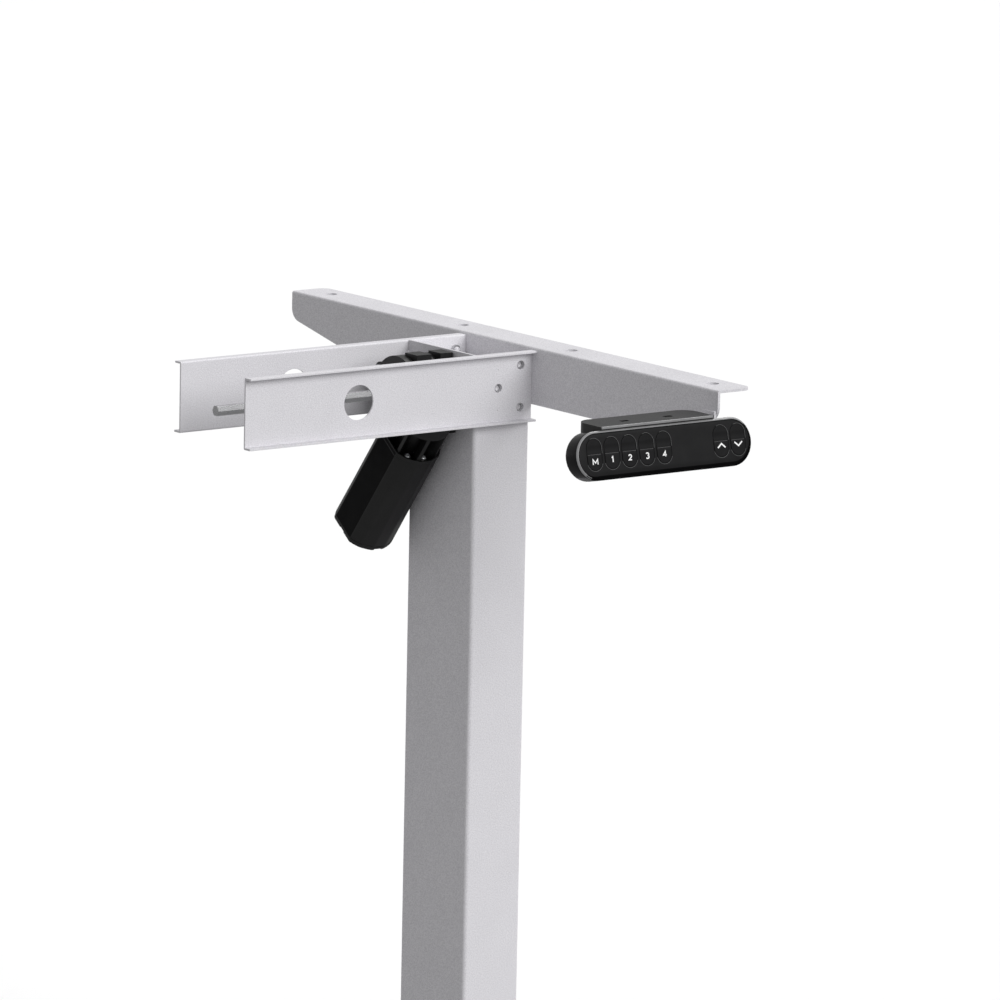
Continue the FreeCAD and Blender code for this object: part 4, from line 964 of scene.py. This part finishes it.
def make_screws():
    """The lead screw's thread, its plain point and the journal that its bearing holds."""
    low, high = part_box("lead_screw")
    place = Matrix.Identity(4)
    bearing_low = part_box("spindle_bearing")[0][2]
    helix_piece("lead_screw_thread", place, SCREW_RADIUS, 1.5 * MM, SCREW_LEAD, 2,
                low[2] + 2 * MM, bearing_low - 3.5 * MM, "spindle", "bright_steel",
                "lead_screw", 32)
    point = [(CENTRE, low[2]), (6.0 * MM, low[2]), (7.0 * MM, low[2] + 2.2 * MM),
             (CENTRE, low[2] + 2.3 * MM)]
    verts, faces = lathe(place, point, 32)
    piece_from("lead_screw_point", verts, faces, "spindle", "bright_steel", "bright_steel")
    top = [(CENTRE, bearing_low - 4 * MM), (6.6 * MM, bearing_low - 3.9 * MM),
           (SCREW_RADIUS, bearing_low - 2.8 * MM), (SCREW_RADIUS, bearing_low - 0.8 * MM),
           (7.6 * MM, bearing_low - 0.4 * MM), (6 * MM, bearing_low - 0.35 * MM),
           (6 * MM, bearing_low + 7.0 * MM), (4 * MM, bearing_low + 7.1 * MM),
           (4 * MM, high[2] - 0.5 * MM), (3.5 * MM, high[2]), (CENTRE, high[2])]
    verts, faces = lathe(place, top, 36)
    piece_from("lead_screw_journal", verts, faces, "spindle", "bright_steel", "bright_steel")


def make_worm():
    """A two-start worm whose crests stay clear of the wheel's tips."""
    helix_piece("worm_thread", MOTOR, 4.9 * MM, 1.1 * MM, 6.28 * MM, 2, -12 * MM, 12 * MM,
                "motor_rotor", "worm_steel", "worm", 40)


COILS = 5
COIL_STEPS = 32
COIL_SECTION_STEPS = 10
COIL_HALF_WIDTH = 4.6 * MM
COIL_HALF_LENGTH = 22.7 * MM
COIL_RADIUS = 7.6 * MM
COIL_HALF_DEPTH = 1.9 * MM


def make_armature():
    """The enamelled coils round the rotor's stack, each a rounded rectangular loop."""
    centre = (MOTOR.inverted() @ middle("motor_armature")).z
    for index in range(COILS):
        spun = MOTOR @ Matrix.Rotation(math.radians(72 * index + 36), 4, "Z")
        rings = []
        for step in range(COIL_STEPS):
            angle = 2 * math.pi * step / COIL_STEPS
            across = math.sin(angle)
            along = math.cos(angle)
            y = COIL_HALF_WIDTH * math.copysign(abs(across) ** 0.6, across)
            z = COIL_HALF_LENGTH * math.copysign(abs(along) ** 0.25, along)
            ring = []
            for k in range(COIL_SECTION_STEPS):
                swell = 2 * math.pi * k / COIL_SECTION_STEPS
                x = COIL_RADIUS + COIL_HALF_DEPTH * math.cos(swell)
                grow = 1 + 0.07 * math.sin(swell)
                ring.append(spun @ Vector((x, y * grow, centre + z * grow)))
            rings.append(ring)
        verts, faces = rings_mesh(rings, closed=True)
        piece_from(f"armature_coil_{index}", verts, faces, "motor_rotor", "copper_wire",
                   "brass_parts")


# ------------------------------------------------------------------ studio

FLOOR_REACH = 40.0
FLOOR_DROP = 0.0002     # keeps the floor off the foot plate's underside
SKY_ABOVE = 0.50
SKY_BELOW = 0.33
HORIZON_BLEND = 0.25
# Each sun's strength, width in degrees and direction.
SUNS = {
    "sun_above": (1.10, 30, (0.587, 0.16, 0.793)),
    "sun_front": (2.05, 38, (0.22, -0.85, 0.48)),
}


def make_studio():
    """A wide pale floor, a soft sky and two soft suns: above, and in front.

    The camera sees the floor, which reflects nothing on to the object, and a white sky,
    which lights the object less than it looks.
    """
    mesh = bpy.data.meshes.new("studio_floor")
    corners = [(FLOOR_REACH * x, FLOOR_REACH * y, 0) for x, y in
               ((-1, -1), (1, -1), (1, 1), (-1, 1))]
    mesh.from_pydata(corners, [], [(0, 1, 2, 3)])
    floor = bpy.data.objects.new("studio_floor", mesh)
    floor.location = (0, 0, -FLOOR_DROP)
    bpy.context.scene.collection.objects.link(floor)
    material = bpy.data.materials.new("studio_paper")
    material.use_nodes = True
    shader = material.node_tree.nodes["Principled BSDF"]
    shader.inputs["Base Color"].default_value = (0.93, 0.93, 0.93, 1)
    shader.inputs["Roughness"].default_value = 0.9
    shader.inputs["Specular IOR Level"].default_value = 0.0
    mesh.materials.append(material)
    for sight in ("visible_diffuse", "visible_glossy", "visible_transmission",
                  "visible_shadow"):
        setattr(floor, sight, False)
    world = bpy.data.worlds.new("studio_sky")
    bpy.context.scene.world = world
    world.use_nodes = True
    tree = world.node_tree
    background = tree.nodes["Background"]
    background.inputs["Color"].default_value = (1, 1, 1, 1)
    coords = tree.nodes.new("ShaderNodeTexCoord")
    split = tree.nodes.new("ShaderNodeSeparateXYZ")
    tree.links.new(coords.outputs["Generated"], split.inputs["Vector"])
    sky = spread(tree, split.outputs["Z"], -HORIZON_BLEND, HORIZON_BLEND, SKY_BELOW, SKY_ABOVE)
    path = tree.nodes.new("ShaderNodeLightPath")
    pick = tree.nodes.new("ShaderNodeMix")
    pick.data_type = "FLOAT"
    tree.links.new(path.outputs["Is Camera Ray"], pick.inputs["Factor"])
    tree.links.new(sky, pick.inputs["A"])
    pick.inputs["B"].default_value = 1.0
    tree.links.new(pick.outputs["Result"], background.inputs["Strength"])
    for name, (strength, angle, towards) in SUNS.items():
        light = bpy.data.lights.new(name, "SUN")
        light.energy = strength
        light.angle = math.radians(angle)
        lamp = bpy.data.objects.new(name, light)
        lamp.rotation_euler = Vector(towards).to_track_quat("Z", "Y").to_euler()
        bpy.context.scene.collection.objects.link(lamp)


def make_camera():
    """A long lens, far away, low on the left of the user's side."""
    azimuth = math.radians(-36.606)
    elevation = math.radians(10.172)
    roll = math.radians(1.139)
    distance = 6.6
    aim = Vector((0.0293, 0.0, BEAM_TOP - 0.118))
    towards = Vector((math.sin(azimuth) * math.cos(elevation),
                      -math.cos(azimuth) * math.cos(elevation), math.sin(elevation)))
    data = bpy.data.cameras.new("camera")
    data.sensor_width = 36.0
    data.lens = 323.44
    data.clip_end = 200.0
    camera = bpy.data.objects.new("camera", data)
    turn = towards.to_track_quat("Z", "Y").to_matrix().to_4x4() @ Matrix.Rotation(roll, 4, "Z")
    camera.matrix_world = Matrix.Translation(aim + towards * distance) @ turn
    bpy.context.scene.collection.objects.link(camera)
    bpy.context.scene.camera = camera


make_camera()
make_studio()
round_sheet_edges()
make_welds()
make_housing()
make_rim()
make_lower_bevel()
make_face()
for node, legend in KEYS.items():
    make_key(node, legend)
make_mount()
make_motor_cover()
make_case()
make_neck_fittings()
make_rail_marks()
make_screws()
make_worm()
make_armature()
bpy.context.scene.view_settings.view_transform = "Standard"
